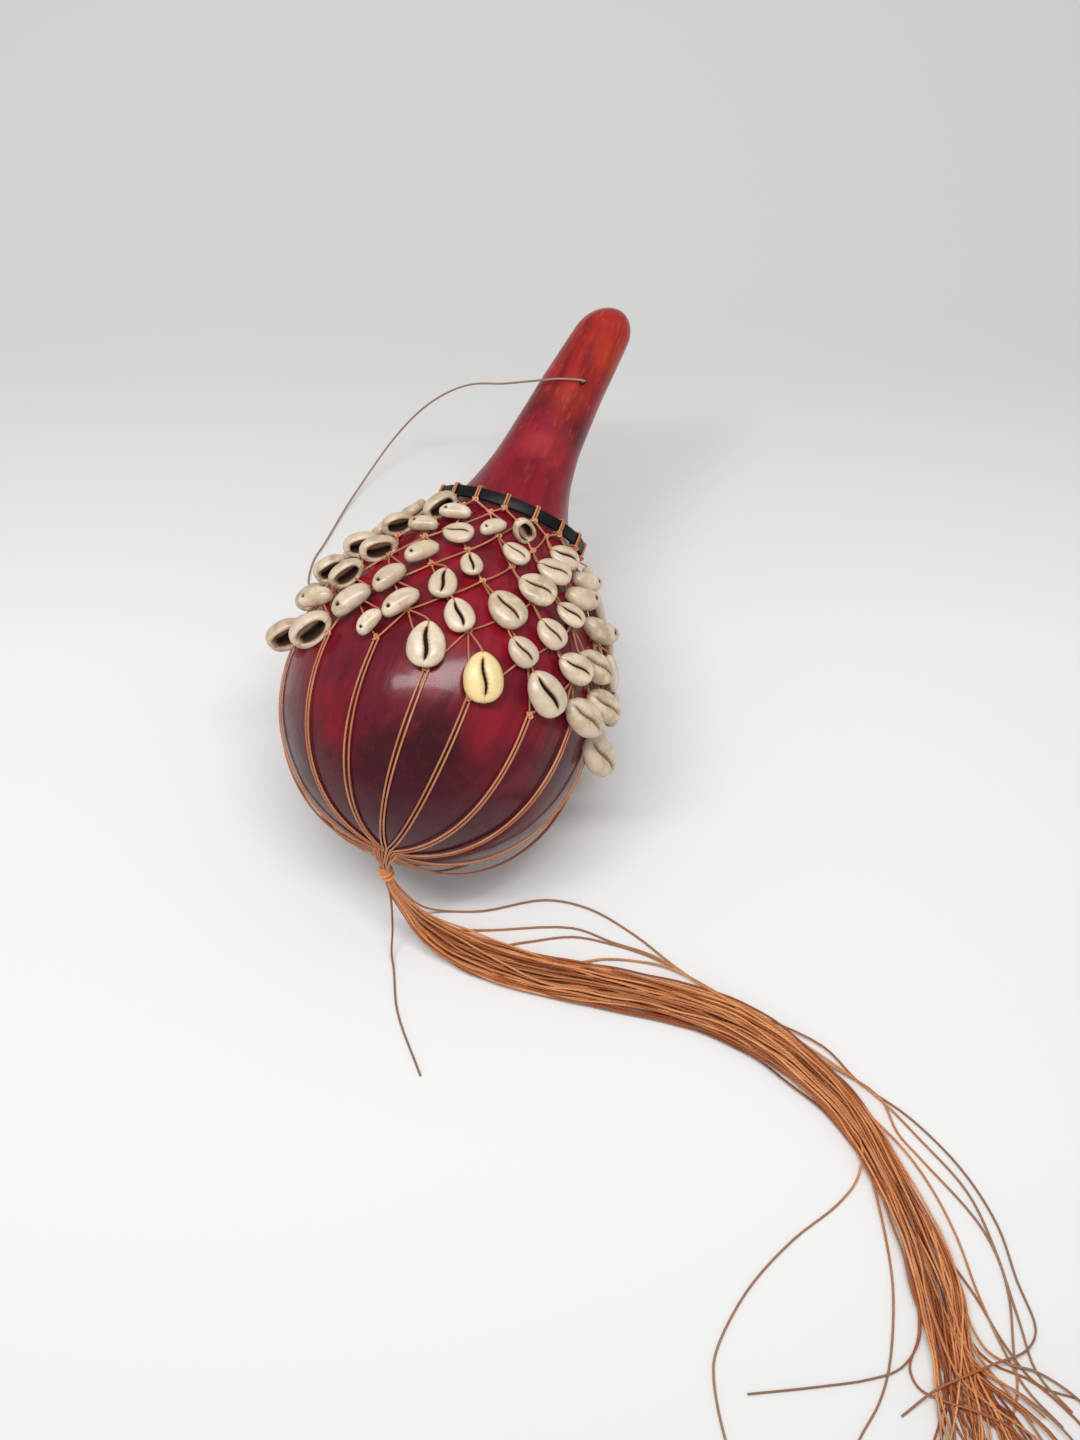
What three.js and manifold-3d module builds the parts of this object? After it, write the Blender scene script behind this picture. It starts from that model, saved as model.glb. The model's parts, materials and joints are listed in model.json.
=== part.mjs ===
// Shekere: a hollow calabash rattle with a hoop on its shoulder, a corded net of cowries and a long tassel.
// It lies on its belly as it settles on a table. Millimetres, +Z up, origin on the table under its middle.
import * as THREE from "three";
import { mergeVertices } from "three/addons/utils/BufferGeometryUtils.js";
import Module from "manifold-3d";

const wasm = await Module();
wasm.setup();

const { Vector2, Vector3 } = THREE;
const radians = THREE.MathUtils.degToRad;

// Gourd: heights run along its axis from the widest part of the belly, positive towards the neck
const bulbRadius = 75;
const wall = 4.5;
const shoulderReach = 85;
const shoulderPower = 2.8;
const neckRootRadius = 22;
const neckLength = 206;
const tipRadius = 13.5;
const tipLength = 15;
const neckLean = 11.5;
const leanStart = 108;
const leanPower = 1.8;
const gourdSides = 24;
const hollowSides = 14;

// How it lies: the axis rises from the table and turns to the right of the line of sight
const axisRise = 17.5;
const axisHeading = 21.5;

// Space kept between pieces that touch
const clearance = 0.35;

// Cord of the net, and the hoop that it hangs from
const cordDiameter = 1.1;
const cordSides = 3;
const hoopHeight = 5.6;
const hoopWall = 2.2;
const hoopSeat = 96;
const hoopSides = 28;

// Net: columns round the gourd, each drifting to the right from row to row; turns are degrees from the top
const columns = 16;
const columnTurn = 360 / columns;
const knotHeights = [90.5, 79, 65.5, 52.5, 39.5, 27.5, 4];
const rowDrift = 12.3;
const firstKnotTurn = -3.2;
const hitchTurn = -17;
const knotRadius = 1.7;
const knotRise = 1.3;
const knotTaper = 2.4;
const cordSag = 0.75;
const hemRow = knotHeights.length - 2;

// Cowries, largest along the hem, each tied by one end below its knot
const cowrieHeights = [82, 69.5, 55.5, 42, 29, 14.5];
const cowrieLengths = [15.5, 16.5, 18, 19, 18.5, 23];
const cowrieTurn = 5.8;
const cowrieWidth = 0.72;
const cowrieThickness = 0.33;
const cowrieLift = 3.4;
const tiedEndShare = 0.36;
const slitShare = 0.5;
const pocketShare = 0.3;

// Cowries that hang off the pattern, by row and column: how far along the axis and round it, and how large
const movedCowries = {
  "0 0": [-3.5, 0],
  "0 1": [2, -6],
  "0 2": [-1, 1],
  "0 3": [-3.5, 4],
  "0 14": [2.5, 3],
  "0 15": [-1, -3],
  "1 0": [0, 3],
  "1 1": [0.5, 2],
  "1 2": [-3, 0],
  "1 14": [0, -2],
  "1 15": [0, -4],
  "2 0": [1, 3],
  "2 1": [-2.4, -2],
  "2 2": [1.6, 2],
  "2 13": [-4, 0],
  "2 14": [-2, -1],
  "2 15": [0, -3],
  "3 0": [-2.3, -1],
  "3 1": [-5, 2],
  "3 12": [-6, 6],
  "3 13": [-5, 5],
  "3 14": [0, 1.4],
  "3 15": [-1, 3, 1.08],
  "4 0": [2, 0],
  "4 1": [-4, 0],
  "4 11": [-7, 8],
  "4 12": [-6, 6],
  "4 13": [-1.6, 1.7],
  "4 14": [1.7, -1.3],
  "4 15": [-2.4, 0, 0.86],
  "5 0": [0.8, -2.4, 0.87],
  "5 1": [-8, -1, 0.95],
  "5 10": [-9, 4, 0.9],
  "5 11": [-7, 3, 0.92],
  "5 12": [1, 5, 0.65],
  "5 13": [-0.5, 3, 0.92],
  "5 14": [-5, 0.6],
};

// Knots that sit off the pattern in the same way
const movedKnots = {
  "1 15": [-1, -2.7],
  "2 14": [1, -3],
  "4 12": [-2.4, 2.5],
  "5 11": [-4, 2],
  "6 0": [5, -6],
  "6 1": [3, -7],
  "6 11": [4, 5],
  "6 12": [7, 4],
  "6 13": [1, 2],
  "6 14": [-4, -4],
  "6 15": [0, -4],
};

// Legs: pairs of cord from the hem to the foot of the gourd, drawn into a gather there
const legSteps = 6;
const legSpacing = cordDiameter + 0.25;
const legSag = 0.6;
const legSlack = 4.5;
const slackTurn = 118;
const gatherRadius = 7.6;
const gatherLength = 3.2;
const gatherSides = 14;
const gatherAside = [5, -3];

// Tassel: bound just below the gather, then loose on the table in a trunk, locks and stray strands
const tasselNeckRadius = 2.5;
const trunkWidth = 20;
const trunkDepth = 7.6;
const flareStart = 15;
const flareLength = 95;
const trunkSides = 8;
const trunkSteps = 24;
const bindingTurns = 5;
const bindingPitch = cordDiameter + 0.55;
const bindingStart = 2.6;
const bindingSteps = 18;
const bindingSides = 5;
const locks = 4;
const lockSpacing = 5.6;
const lockDepth = 5.2;
const lockFan = 0.11;
const lockSides = 6;
const lockSteps = 6;
const strandSides = 8;

// Route of the trunk and of its tail, measured on the table from under the middle of the belly
const trunkRoute = [
  [-21, -79.5, 45],
  [-15.5, -83, 32],
  [-9, -87, 19],
  [0, -91.5, 10.5],
  [11, -96, 6.2],
  [29.5, -102.4, 4.2],
  [49, -108, 4.2],
  [69, -111.8, 4.2],
  [98, -117.5, 4.2],
  [127, -125.3, 4.2],
  [146, -133.3, 4.2],
  [164.6, -145.7, 4.2],
  [180.3, -159.3, 4.2],
  [192.9, -172.8, 4.2],
  [202.3, -187.3, 4.2],
  [210.3, -203.4, 4.2],
  [217, -218.3, 4.2],
  [222.9, -234, 4.2],
  [227.3, -251.2, 4.2],
  [230, -268, 4.2],
  [231.8, -280, 4.2],
];
const tailRoute = [
  [236, -295, 3.2],
  [243.5, -311, 3.2],
  [256, -344, 3.2],
  [268, -378, 3.2],
];

// Stray strands: how far along the trunk each leaves it, on which side, and where it lies then
const strayRoutes = [
  {
    from: 24,
    side: 1,
    points: [[-23, -88.5, 18], [-24.2, -97, 4.5], [-23, -105, 1.4], [-20.5, -125.5, 1], [-8, -157.5, 1]],
  },
  {
    from: 22,
    side: -1,
    points: [
      [-10, -75.5, 14], [-2, -72.5, 2.4], [13, -74.5, 1],
      [51.5, -67.5, 1], [99, -89.5, 1], [126, -110, 1],
    ],
  },
  {
    from: 38,
    side: -1,
    points: [[4, -83.5, 4], [16, -82.5, 1.4], [66.5, -82, 1], [103.5, -97.5, 1], [111, -102.5, 1]],
  },
  {
    from: 190,
    side: -1,
    points: [[175, -138, 1], [210, -172, 1], [252, -231.5, 1], [269.5, -276.5, 1], [260, -285, 1]],
  },
  {
    from: 300,
    side: 1,
    points: [[205.5, -245, 1], [205, -262, 1], [201, -293, 1], [188, -317, 1], [176, -336, 1]],
  },
  {
    from: 262,
    side: 1,
    points: [[186, -219, 1], [158, -238, 1], [126.5, -280.5, 1], [129, -316, 1], [136, -336, 1]],
  },
  {
    from: 348,
    side: 1,
    points: [[212, -286.5, 2.6], [194, -293, 2.6], [171.5, -295.5, 1], [140, -298.5, 1]],
  },
];

// Hanging string through the neck, down to the table, round behind the shells and up again
const stringDiameter = 1.1;
const stringSides = 8;
const stringSteps = 2;
const stringHoleRadius = 1.4;
const stringHoleHeight = 174.5;
const stringHoleTurn = 26;
const stringOverNeck = [[173, 10], [171, -12], [169.5, -34]];
const stringRoute = [
  [46, 153.5, 137],
  [31, 168.5, 117],
  [12, 189.5, 91],
  [-5.5, 203, 65],
  [-21, 208.5, 42],
  [-36.5, 204.5, 22],
  [-51.5, 190, 8],
  [-62.5, 173, 2.5],
  [-73, 150, 1],
  [-79, 137, 1],
  [-80, 120, 1],
  [-69, 107, 1],
  [-45, 103, 1],
  [-18, 112, 1],
  [4, 135, 1],
  [20.5, 154, 2.4],
  [32, 163, 9],
  [43.5, 167.5, 30],
  [53.5, 165.5, 60],
  [61, 163, 88],
];

const lacquer = new THREE.MeshStandardMaterial({ color: 0x5c1622, roughness: 0.35, metalness: 0 });
const shell = new THREE.MeshStandardMaterial({ color: 0xd9ccb4, roughness: 0.4, metalness: 0 });
const waxedCord = new THREE.MeshStandardMaterial({ color: 0xb4632f, roughness: 0.6, metalness: 0 });
const darkString = new THREE.MeshStandardMaterial({ color: 0x8a6650, roughness: 0.7, metalness: 0 });
const blackHoop = new THREE.MeshStandardMaterial({ color: 0x17171a, roughness: 0.5, metalness: 0 });

// Outer radius of the gourd: a round belly, a swelling shoulder, a tapering neck and a round tip
function radiusAt(height) {
  if (height <= 0) return Math.sqrt(Math.max(0, bulbRadius ** 2 - height ** 2));
  const neck = tipRadius + (neckRootRadius - tipRadius) * (1 - (height / neckLength) ** 2);
  const swell = (bulbRadius - neckRootRadius) * Math.exp(-((height / shoulderReach) ** shoulderPower));
  const pastNeck = Math.max(0, height - neckLength) / tipLength;
  return (neck + swell) * Math.sqrt(Math.max(0, 1 - pastNeck ** 2));
}

function slopeAt(height) {
  if (height <= 0) return -height / Math.max(radiusAt(height), 1e-3);
  return radiusAt(height + 0.5) - radiusAt(height - 0.5);
}

// The neck leans to the right of the axis above the hoop
function leanAt(height) {
  const share = Math.max(0, height - leanStart) / (neckLength + tipLength - leanStart);
  return neckLean * share ** leanPower;
}

function outward(height, turn) {
  const slope = slopeAt(height);
  const length = Math.hypot(1, slope);
  const angle = radians(turn);
  return new Vector3(Math.sin(angle) / length, -Math.cos(angle) / length, -slope / length);
}

// A point over the gourd's skin, lifted off it along the skin's normal
function onGourd(height, turn, lift) {
  const angle = radians(turn);
  const radius = radiusAt(height);
  const skin = new Vector3(Math.sin(angle) * radius, -Math.cos(angle) * radius, height);
  skin.x += leanAt(height);
  return skin.addScaledVector(outward(height, turn), lift);
}

// Closed geometry to a solid for joining and cutting, and back
function solid(geometry) {
  const bare = geometry.index ? geometry.toNonIndexed() : geometry.clone();
  bare.deleteAttribute("normal");
  bare.deleteAttribute("uv");
  const merged = mergeVertices(bare, 1e-4);
  const mesh = new wasm.Mesh({
    numProp: 3,
    vertProperties: merged.attributes.position.array,
    triVerts: new Uint32Array(merged.index.array),
  });
  return new wasm.Manifold(mesh);
}

function geometryOf(made) {
  const mesh = made.getMesh();
  const geometry = new THREE.BufferGeometry();
  geometry.setAttribute("position", new THREE.BufferAttribute(mesh.vertProperties, mesh.numProp));
  geometry.setIndex(new THREE.BufferAttribute(mesh.triVerts, 1));
  geometry.computeVertexNormals();
  return geometry;
}

function addPart(parent, name, geometry, material) {
  const mesh = new THREE.Mesh(geometry, material);
  mesh.name = name;
  parent.add(mesh);
  return mesh;
}

function numbered(name, index) {
  return `${name}_${String(index + 1).padStart(2, "0")}`;
}

function regularShape(radius, sides) {
  const corners = [];
  for (let i = 0; i < sides; i++) {
    const angle = (2 * Math.PI * i) / sides;
    corners.push(new Vector2(radius * Math.cos(angle), radius * Math.sin(angle)));
  }
  return new THREE.Shape(corners);
}

// A cord's route, stepped evenly from each of its points to the next
class CordRoute extends THREE.CatmullRomCurve3 {
  constructor(points) {
    super(points, false, "centripetal");
  }

  getUtoTmapping(share) {
    return share;
  }
}

function cordAlong(points, diameter, sides, stepsBetween) {
  const extrudePath = new CordRoute(points);
  const steps = stepsBetween * (points.length - 1);
  return new THREE.ExtrudeGeometry(regularShape(diameter / 2, sides), { extrudePath, steps });
}

// Surface patches as lists of corners, three to a triangle; rings run clockwise as seen along the cord
function band(ring, nextRing) {
  return ring.flatMap((corner, i) => {
    const next = (i + 1) % ring.length;
    return [corner, ring[next], nextRing[next], corner, nextRing[next], nextRing[i]];
  });
}

function bands(rings) {
  return rings.slice(1).flatMap((ring, i) => band(rings[i], ring));
}

function fan(ring, tip) {
  return ring.flatMap((corner, i) => [corner, ring[(i + 1) % ring.length], tip]);
}

function closedSurface(corners) {
  const geometry = new THREE.BufferGeometry().setFromPoints(corners);
  geometry.computeVertexNormals();
  return geometry;
}

// Rings skinned into one closed surface that comes to a point at both ends
function skinRings(rings, firstEnd, lastEnd) {
  const start = fan([...rings[0]].reverse(), firstEnd);
  return closedSurface([...start, ...bands(rings), ...fan(rings[rings.length - 1], lastEnd)]);
}

function revolve(profile, sides) {
  const points = profile.map(([radius, height]) => new Vector2(radius, height));
  return new THREE.LatheGeometry(points, sides).rotateX(Math.PI / 2);
}

function leanOver(geometry) {
  const place = geometry.attributes.position;
  for (let i = 0; i < place.count; i++) place.setX(i, place.getX(i) + leanAt(place.getZ(i)));
  return geometry;
}

// Heights at which the gourd's outline is cut, closer together where it curves most
const top = neckLength + tipLength;
const outlineHeights = [];
for (let angle = -90; angle < 0; angle += 10) outlineHeights.push(bulbRadius * Math.sin(radians(angle)));
for (const share of [0, 0.065, 0.13, 0.19, 0.25, 0.31, 0.36, 0.41, 0.46, 0.52, 0.58, 0.67, 0.79]) {
  outlineHeights.push(share * top);
}
for (let angle = 0; angle <= 90; angle += 22.5) {
  outlineHeights.push(neckLength + tipLength * Math.sin(radians(angle)));
}

// A round hollow follows the outline one wall inside it, and the string's holes open into it
function makeGourd() {
  const outline = outlineHeights.map((height) => [radiusAt(height), height]);
  outline[0][0] = 0;
  outline[outline.length - 1][0] = 0;
  const roomy = ([radius, height]) => height > 2 * wall - bulbRadius && radius > 2 * wall;
  const inside = outline.filter((point, i) => i % 2 && roomy(point));
  const hollow = inside.map(([radius, height]) => [radius - wall, height]);
  hollow.unshift([0, wall - bulbRadius]);
  hollow.push([0, hollow[hollow.length - 1][1] + wall]);
  const drill = new THREE.CylinderGeometry(stringHoleRadius, stringHoleRadius, 4 * neckRootRadius, 8);
  drill.rotateZ(radians(stringHoleTurn));
  drill.translate(leanAt(stringHoleHeight), 0, stringHoleHeight);
  const body = solid(leanOver(revolve(outline, gourdSides)));
  return geometryOf(body.subtract(solid(leanOver(revolve(hollow, hollowSides)))).subtract(solid(drill)));
}

// The hoop stands off the gourd by the cords that are hitched round it
const hitchSpace = cordDiameter + clearance;
const hoopInner = radiusAt(hoopSeat - hitchSpace) + hitchSpace + clearance;
const hoopOuter = hoopInner + hoopWall;
const hoopTop = hoopSeat + hoopHeight;

function makeHoop() {
  const profile = [
    [hoopInner, hoopSeat],
    [hoopOuter, hoopSeat],
    [hoopOuter, hoopTop],
    [hoopInner, hoopTop],
    [hoopInner, hoopSeat],
  ];
  return revolve(profile, hoopSides);
}

// Two turns of cord side by side, wrapped round the hoop's section
function makeHitch(turn) {
  const outline = new THREE.Shape();
  const reach = hitchSpace;
  outline.moveTo(hoopInner - reach, hoopSeat - reach);
  outline.lineTo(hoopOuter + reach, hoopSeat - reach);
  outline.lineTo(hoopOuter + reach, hoopTop + reach);
  outline.lineTo(hoopInner - reach, hoopTop + reach);
  const hole = new THREE.Path();
  hole.moveTo(hoopInner - clearance, hoopSeat - clearance);
  hole.lineTo(hoopInner - clearance, hoopTop + clearance);
  hole.lineTo(hoopOuter + clearance, hoopTop + clearance);
  hole.lineTo(hoopOuter + clearance, hoopSeat - clearance);
  outline.holes.push(hole);
  const wrap = new THREE.ExtrudeGeometry(outline, { depth: 2 * cordDiameter, bevelEnabled: false });
  wrap.translate(0, 0, -cordDiameter);
  wrap.rotateX(Math.PI / 2);
  return wrap.rotateZ(radians(turn - 90));
}

const netLift = cordDiameter / 2 + clearance + cordSag;
const knotReach = knotRadius + clearance;

function moved(list, row, column) {
  return list[`${row} ${(column + columns) % columns}`] ?? [0, 0];
}

function knotSpot(row, column) {
  const [up, round] = moved(movedKnots, row, column);
  const turn = firstKnotTurn + columnTurn * column + rowDrift * row + round;
  return { height: knotHeights[row] + up, turn };
}

function knotPoint(row, column) {
  const { height, turn } = knotSpot(row, column);
  return onGourd(height, turn, netLift);
}

function cowrieSpot(row, column) {
  const [up, round, size = 1] = moved(movedCowries, row, column);
  const turn = cowrieTurn + columnTurn * column + rowDrift * row + round;
  return { height: cowrieHeights[row] + up, turn, length: cowrieLengths[row] * size };
}

// Corners of an oval section across a direction, the first one up
function crossSection(at, direction, upward, halfWidth, halfDepth, sides) {
  const along = direction.clone().normalize();
  const side = along.clone().cross(upward).normalize();
  const up = side.clone().cross(along);
  const ring = [];
  for (let corner = 0; corner < sides; corner++) {
    const angle = (2 * Math.PI * corner) / sides;
    const point = at.clone().addScaledVector(up, halfDepth * Math.cos(angle));
    ring.push(point.addScaledVector(side, halfWidth * Math.sin(angle)));
  }
  return ring;
}

// Thin rings of a cord along its points
function cordRings(points, upward) {
  const radius = cordDiameter / 2;
  return points.map((at, i) => {
    const before = points[Math.max(i - 1, 0)];
    const after = points[Math.min(i + 1, points.length - 1)];
    return crossSection(at, after.clone().sub(before), upward, radius, radius, cordSides);
  });
}

// Points of a cord from one knot towards another, clear of both
function between(from, to, shortBy, ...middles) {
  const points = [from, ...middles, to];
  const towardsFirst = points[1].clone().sub(from).setLength(knotTaper);
  const backFromLast = points[points.length - 2].clone().sub(to).setLength(shortBy);
  return [from.clone().add(towardsFirst), ...middles, to.clone().add(backFromLast)];
}

// A knot has eight faces; a cord grows out of a face on each side that it leaves by
function makeKnot(row, column) {
  const { height, turn } = knotSpot(row, column);
  const out = outward(height, turn);
  const across = outward(0, turn + 90);
  const upSkin = out.clone().cross(across);
  const at = knotPoint(row, column);
  const corner = (direction, reach) => at.clone().addScaledVector(direction, reach);
  const north = corner(upSkin, knotRadius);
  const south = corner(upSkin, -knotRadius);
  const east = corner(across, knotRadius);
  const west = corner(across, -knotRadius);
  const outer = corner(out, knotRise);
  const inner = corner(out, clearance - netLift);
  return {
    at,
    out,
    arrival: [inner, north, west],
    northWest: [outer, north, west],
    northEast: [outer, east, north],
    northEastInner: [inner, north, east],
    southEast: [outer, south, east],
    southEastInner: [inner, east, south],
    southWest: [outer, west, south],
    southWestInner: [inner, south, west],
  };
}

// Half way over the skin between two knots
function overSkin(row, column, nextColumn) {
  const here = knotSpot(row, column);
  const next = knotSpot(row + 1, nextColumn);
  return onGourd((here.height + next.height) / 2, (here.turn + next.turn) / 2, netLift);
}

// Sections of a cowrie in its own frame: x across, y along it from the tied end, z out from the gourd
function cowrieRings(length) {
  const halfWidth = (length * cowrieWidth) / 2;
  const thickness = length * cowrieThickness;
  const stations = [
    [0.2, 0.84],
    [0.55, 1],
    [0.86, 0.68],
  ];
  const section = [
    [0, slitShare],
    [0.2, 1],
    [1, 0.42],
    [0, 0],
    [-1, 0.42],
    [-0.2, 1],
  ];
  return stations.map(([along, fullness]) =>
    section.map(([across, up]) => {
      const z = thickness * (up * (0.4 + 0.6 * fullness) - tiedEndShare);
      return new Vector3(halfWidth * fullness * across, length * along, z);
    }),
  );
}

// A cord's ring of three corners to a cowrie's ring of six
function bridge(cord, ring) {
  const [top, right, left] = cord;
  const [slit, lipRight, flankRight, back, flankLeft, lipLeft] = ring;
  const lips = [top, lipRight, slit, top, slit, lipLeft];
  const rightSide = [top, flankRight, lipRight, top, right, flankRight, right, back, flankRight];
  const leftSide = [right, left, back, left, flankLeft, back, left, top, flankLeft, top, lipLeft, flankLeft];
  return [...lips, ...rightSide, ...leftSide];
}

// The back is cut away for stringing, which leaves an open hollow
function makeOpenCowrie(length) {
  const thickness = length * cowrieThickness;
  const depth = 2 * thickness * pocketShare;
  const pocket = new THREE.CylinderGeometry(1, 1, depth, 8).rotateX(Math.PI / 2);
  pocket.scale(length * cowrieWidth * 0.21, length * 0.27, 1);
  pocket.translate(0, length * 0.53, -thickness * tiedEndShare);
  const shellSolid = solid(skinRings(cowrieRings(length), new Vector3(), new Vector3(0, length, 0)));
  return geometryOf(shellSolid.subtract(solid(pocket)));
}

// Where a cowrie lies: its tied end, and its axes as a frame
function cowriePlace(row, column) {
  const { height, turn, length } = cowrieSpot(row, column);
  const normal = outward(height, turn);
  const backLift = cowrieLift + cowrieThickness * length * tiedEndShare;
  const middle = onGourd(height, turn, backLift);
  const along = middle.clone().sub(knotPoint(row, column));
  along.addScaledVector(normal, -along.dot(normal)).normalize();
  const across = along.clone().cross(normal);
  const tied = middle.addScaledVector(along, -length / 2);
  return new THREE.Matrix4().makeBasis(across, along, normal).setPosition(tied);
}

// The cords meet a little off the gourd's axis
const footTurn = new THREE.Quaternion().setFromUnitVectors(
  new Vector3(0, 0, -1),
  new Vector3(...gatherAside, -bulbRadius).normalize(),
);

// Pair of cords side by side from below a hem knot to the gather at the foot
function legRoutes(column) {
  const { height: knotHeight, turn } = knotSpot(hemRow + 1, column);
  const start = Math.asin((knotHeight - knotTaper) / bulbRadius);
  const end = -Math.acos((gatherRadius + clearance + cordDiameter) / bulbRadius);
  const sideways = outward(0, turn + 90).multiplyScalar(legSpacing);
  const slack = legSlack * Math.max(0, Math.cos(radians(turn - slackTurn))) ** 6;
  return [-0.5, 0.5].map((side) => {
    const points = [];
    for (let step = 0; step <= legSteps; step++) {
      const share = step / legSteps;
      const height = bulbRadius * Math.sin(start + (end - start) * share);
      const lift = cordDiameter / 2 + clearance + legSag + slack * Math.sin(Math.PI * share);
      const point = onGourd(height, turn, lift).addScaledVector(sideways, side);
      points.push(point.applyQuaternion(new THREE.Quaternion().slerp(footTurn, share ** 3)));
    }
    return points;
  });
}

// A cowrie hung from its knot by a short tie, or the tie alone where the cowrie swings by itself
function hangCowrie(knot, row, column) {
  const place = cowriePlace(row, column);
  const { length } = cowrieSpot(row, column);
  const placed = (x, y, z) => new Vector3(x, y, z).applyMatrix4(place);
  const tieEnd = row < hemRow ? 0 : -clearance;
  const [tie] = cordRings([placed(0, tieEnd, 0), placed(0, length, 0)], knot.out);
  if (row === hemRow) return [...band(knot.southEast, tie), ...tie];
  const rings = cowrieRings(length).map((ring) => ring.map((point) => point.applyMatrix4(place)));
  const freeEnd = fan(rings[rings.length - 1], placed(0, length, 0));
  return [...band(knot.southEast, tie), ...bridge(tie, rings[0]), ...bands(rings), ...freeEnd];
}

// Cord from a knot to the next one down its column, and cord that stops at the neighbour's knot
function joinKnots(knot, next, ...middles) {
  const rings = cordRings(between(knot.at, next.at, knotTaper, ...middles), knot.out.clone().negate());
  return bands([knot.southEastInner, ...rings, next.arrival]);
}

function reachNeighbour(knot, neighbour, ...middles) {
  const rings = cordRings(between(knot.at, neighbour.at, knotReach, ...middles), knot.out);
  return [...bands([knot.southWest, ...rings]), ...rings[rings.length - 1]];
}

// The hem knot's pair of legs
function hangLegs(knot, column) {
  const faces = [knot.southWestInner, knot.southEastInner];
  return legRoutes(column).flatMap((points, i) => {
    const rings = cordRings(points, knot.out.clone().negate());
    return [...bands([faces[i], ...rings]), ...rings[rings.length - 1]];
  });
}

// One column of the net: hitch, knotted cord, the cowries above the hem, cross cords and a pair of legs
function makeStrand(column) {
  const turn = hitchTurn + columnTurn * column;
  const hitch = new Vector3(0, -hoopOuter - hitchSpace / 2, hoopSeat - hitchSpace / 2);
  hitch.applyAxisAngle(new Vector3(0, 0, 1), radians(turn));
  const knots = knotHeights.map((height, row) => makeKnot(row, column));
  const neighbours = knotHeights.map((height, row) => makeKnot(row, column - 1));
  const inward = knots[0].out.clone().negate();
  const lead = cordRings([hitch, between(hitch, knots[0].at, knotTaper)[1]], inward);
  const net = [...[...lead[0]].reverse(), ...bands([...lead, knots[0].arrival])];
  for (let row = 0; row <= hemRow; row++) {
    const knot = knots[row];
    const middles = row === hemRow ? [column, column - 1].map((next) => overSkin(row, column, next)) : [];
    net.push(...knot.northWest, ...knot.northEast, ...knot.northEastInner, ...knot.southWestInner);
    net.push(...joinKnots(knot, knots[row + 1], ...middles.slice(0, 1)));
    net.push(...reachNeighbour(knot, neighbours[row + 1], ...middles.slice(1)));
    net.push(...hangCowrie(knot, row, column));
  }
  const last = knots[hemRow + 1];
  net.push(...last.northWest, ...last.northEast, ...last.northEastInner);
  net.push(...last.southEast, ...last.southWest, ...hangLegs(last, column));
  const acrossEnd = between(hitch, neighbours[0].at, knotReach)[1];
  const across = cordAlong([hitch, acrossEnd], cordDiameter, cordSides, 1);
  return geometryOf(wasm.Manifold.union([closedSurface(net), makeHitch(turn), across].map(solid)));
}

// The leg cords drawn together at the foot of the gourd
const gatherFoot = -bulbRadius - clearance - gatherLength;

function makeGather() {
  const rim = -Math.sqrt((bulbRadius + clearance) ** 2 - gatherRadius ** 2);
  const profile = [
    [0, gatherFoot],
    [tasselNeckRadius, gatherFoot],
    [0.6 * gatherRadius, rim - 0.55 * gatherLength],
    [gatherRadius, rim - cordDiameter],
    [gatherRadius, rim],
    [0, -bulbRadius - clearance],
  ];
  return revolve(profile, gatherSides).applyQuaternion(footTurn);
}

// The instrument lies with its neck raised and turned
const instrument = new THREE.Group();
instrument.rotation.set(-radians(90 - axisRise), 0, -radians(axisHeading), "ZXY");

addPart(instrument, "gourd", makeGourd(), lacquer);
addPart(instrument, "neck_hoop", makeHoop(), blackHoop);
addPart(instrument, "cord_gather", makeGather(), waxedCord);
for (let column = 0; column < columns; column++) {
  addPart(instrument, numbered("net_strand", column), makeStrand(column), shell);
  const hemCowrie = makeOpenCowrie(cowrieSpot(hemRow, column).length);
  const cowrie = addPart(instrument, numbered("cowrie", column), hemCowrie, shell);
  cowriePlace(hemRow, column).decompose(cowrie.position, cowrie.quaternion, cowrie.scale);
}

// Stand the instrument on the table, with the origin under the middle of its own box
const box = new THREE.Box3().setFromObject(instrument, true);
const middle = box.getCenter(new Vector3());
instrument.position.set(-middle.x, -middle.y, -box.min.z);

// Where a point of the instrument is above the table
function aboveTable(point) {
  const turned = point.clone().applyEuler(instrument.rotation);
  return turned.setZ(turned.z + instrument.position.z);
}

const upright = new Vector3(0, 0, 1);
const toVector = ([x, y, z]) => new Vector3(x, y, z);
const headReach = gatherFoot - clearance - tasselNeckRadius;
const tasselHead = aboveTable(new Vector3(0, 0, headReach).applyQuaternion(footTurn));
const trunkStart = toVector(trunkRoute[0]);
const bindingDirection = trunkStart.clone().sub(tasselHead).normalize();
const trunkPoints = [tasselHead, tasselHead.clone().lerp(trunkStart, 0.5), ...trunkRoute.map(toVector)];
const trunkCurve = new THREE.CatmullRomCurve3(trunkPoints, false, "centripetal");
const trunkLength = trunkCurve.getLength();

// The trunk is round in its binding and spreads flat on the table
function trunkSection(distance) {
  const spread = THREE.MathUtils.smoothstep(distance, flareStart, flareStart + flareLength);
  const halfWidth = THREE.MathUtils.lerp(tasselNeckRadius, trunkWidth / 2, spread);
  const halfDepth = THREE.MathUtils.lerp(tasselNeckRadius, trunkDepth / 2, spread);
  return { halfWidth, halfDepth };
}

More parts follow.
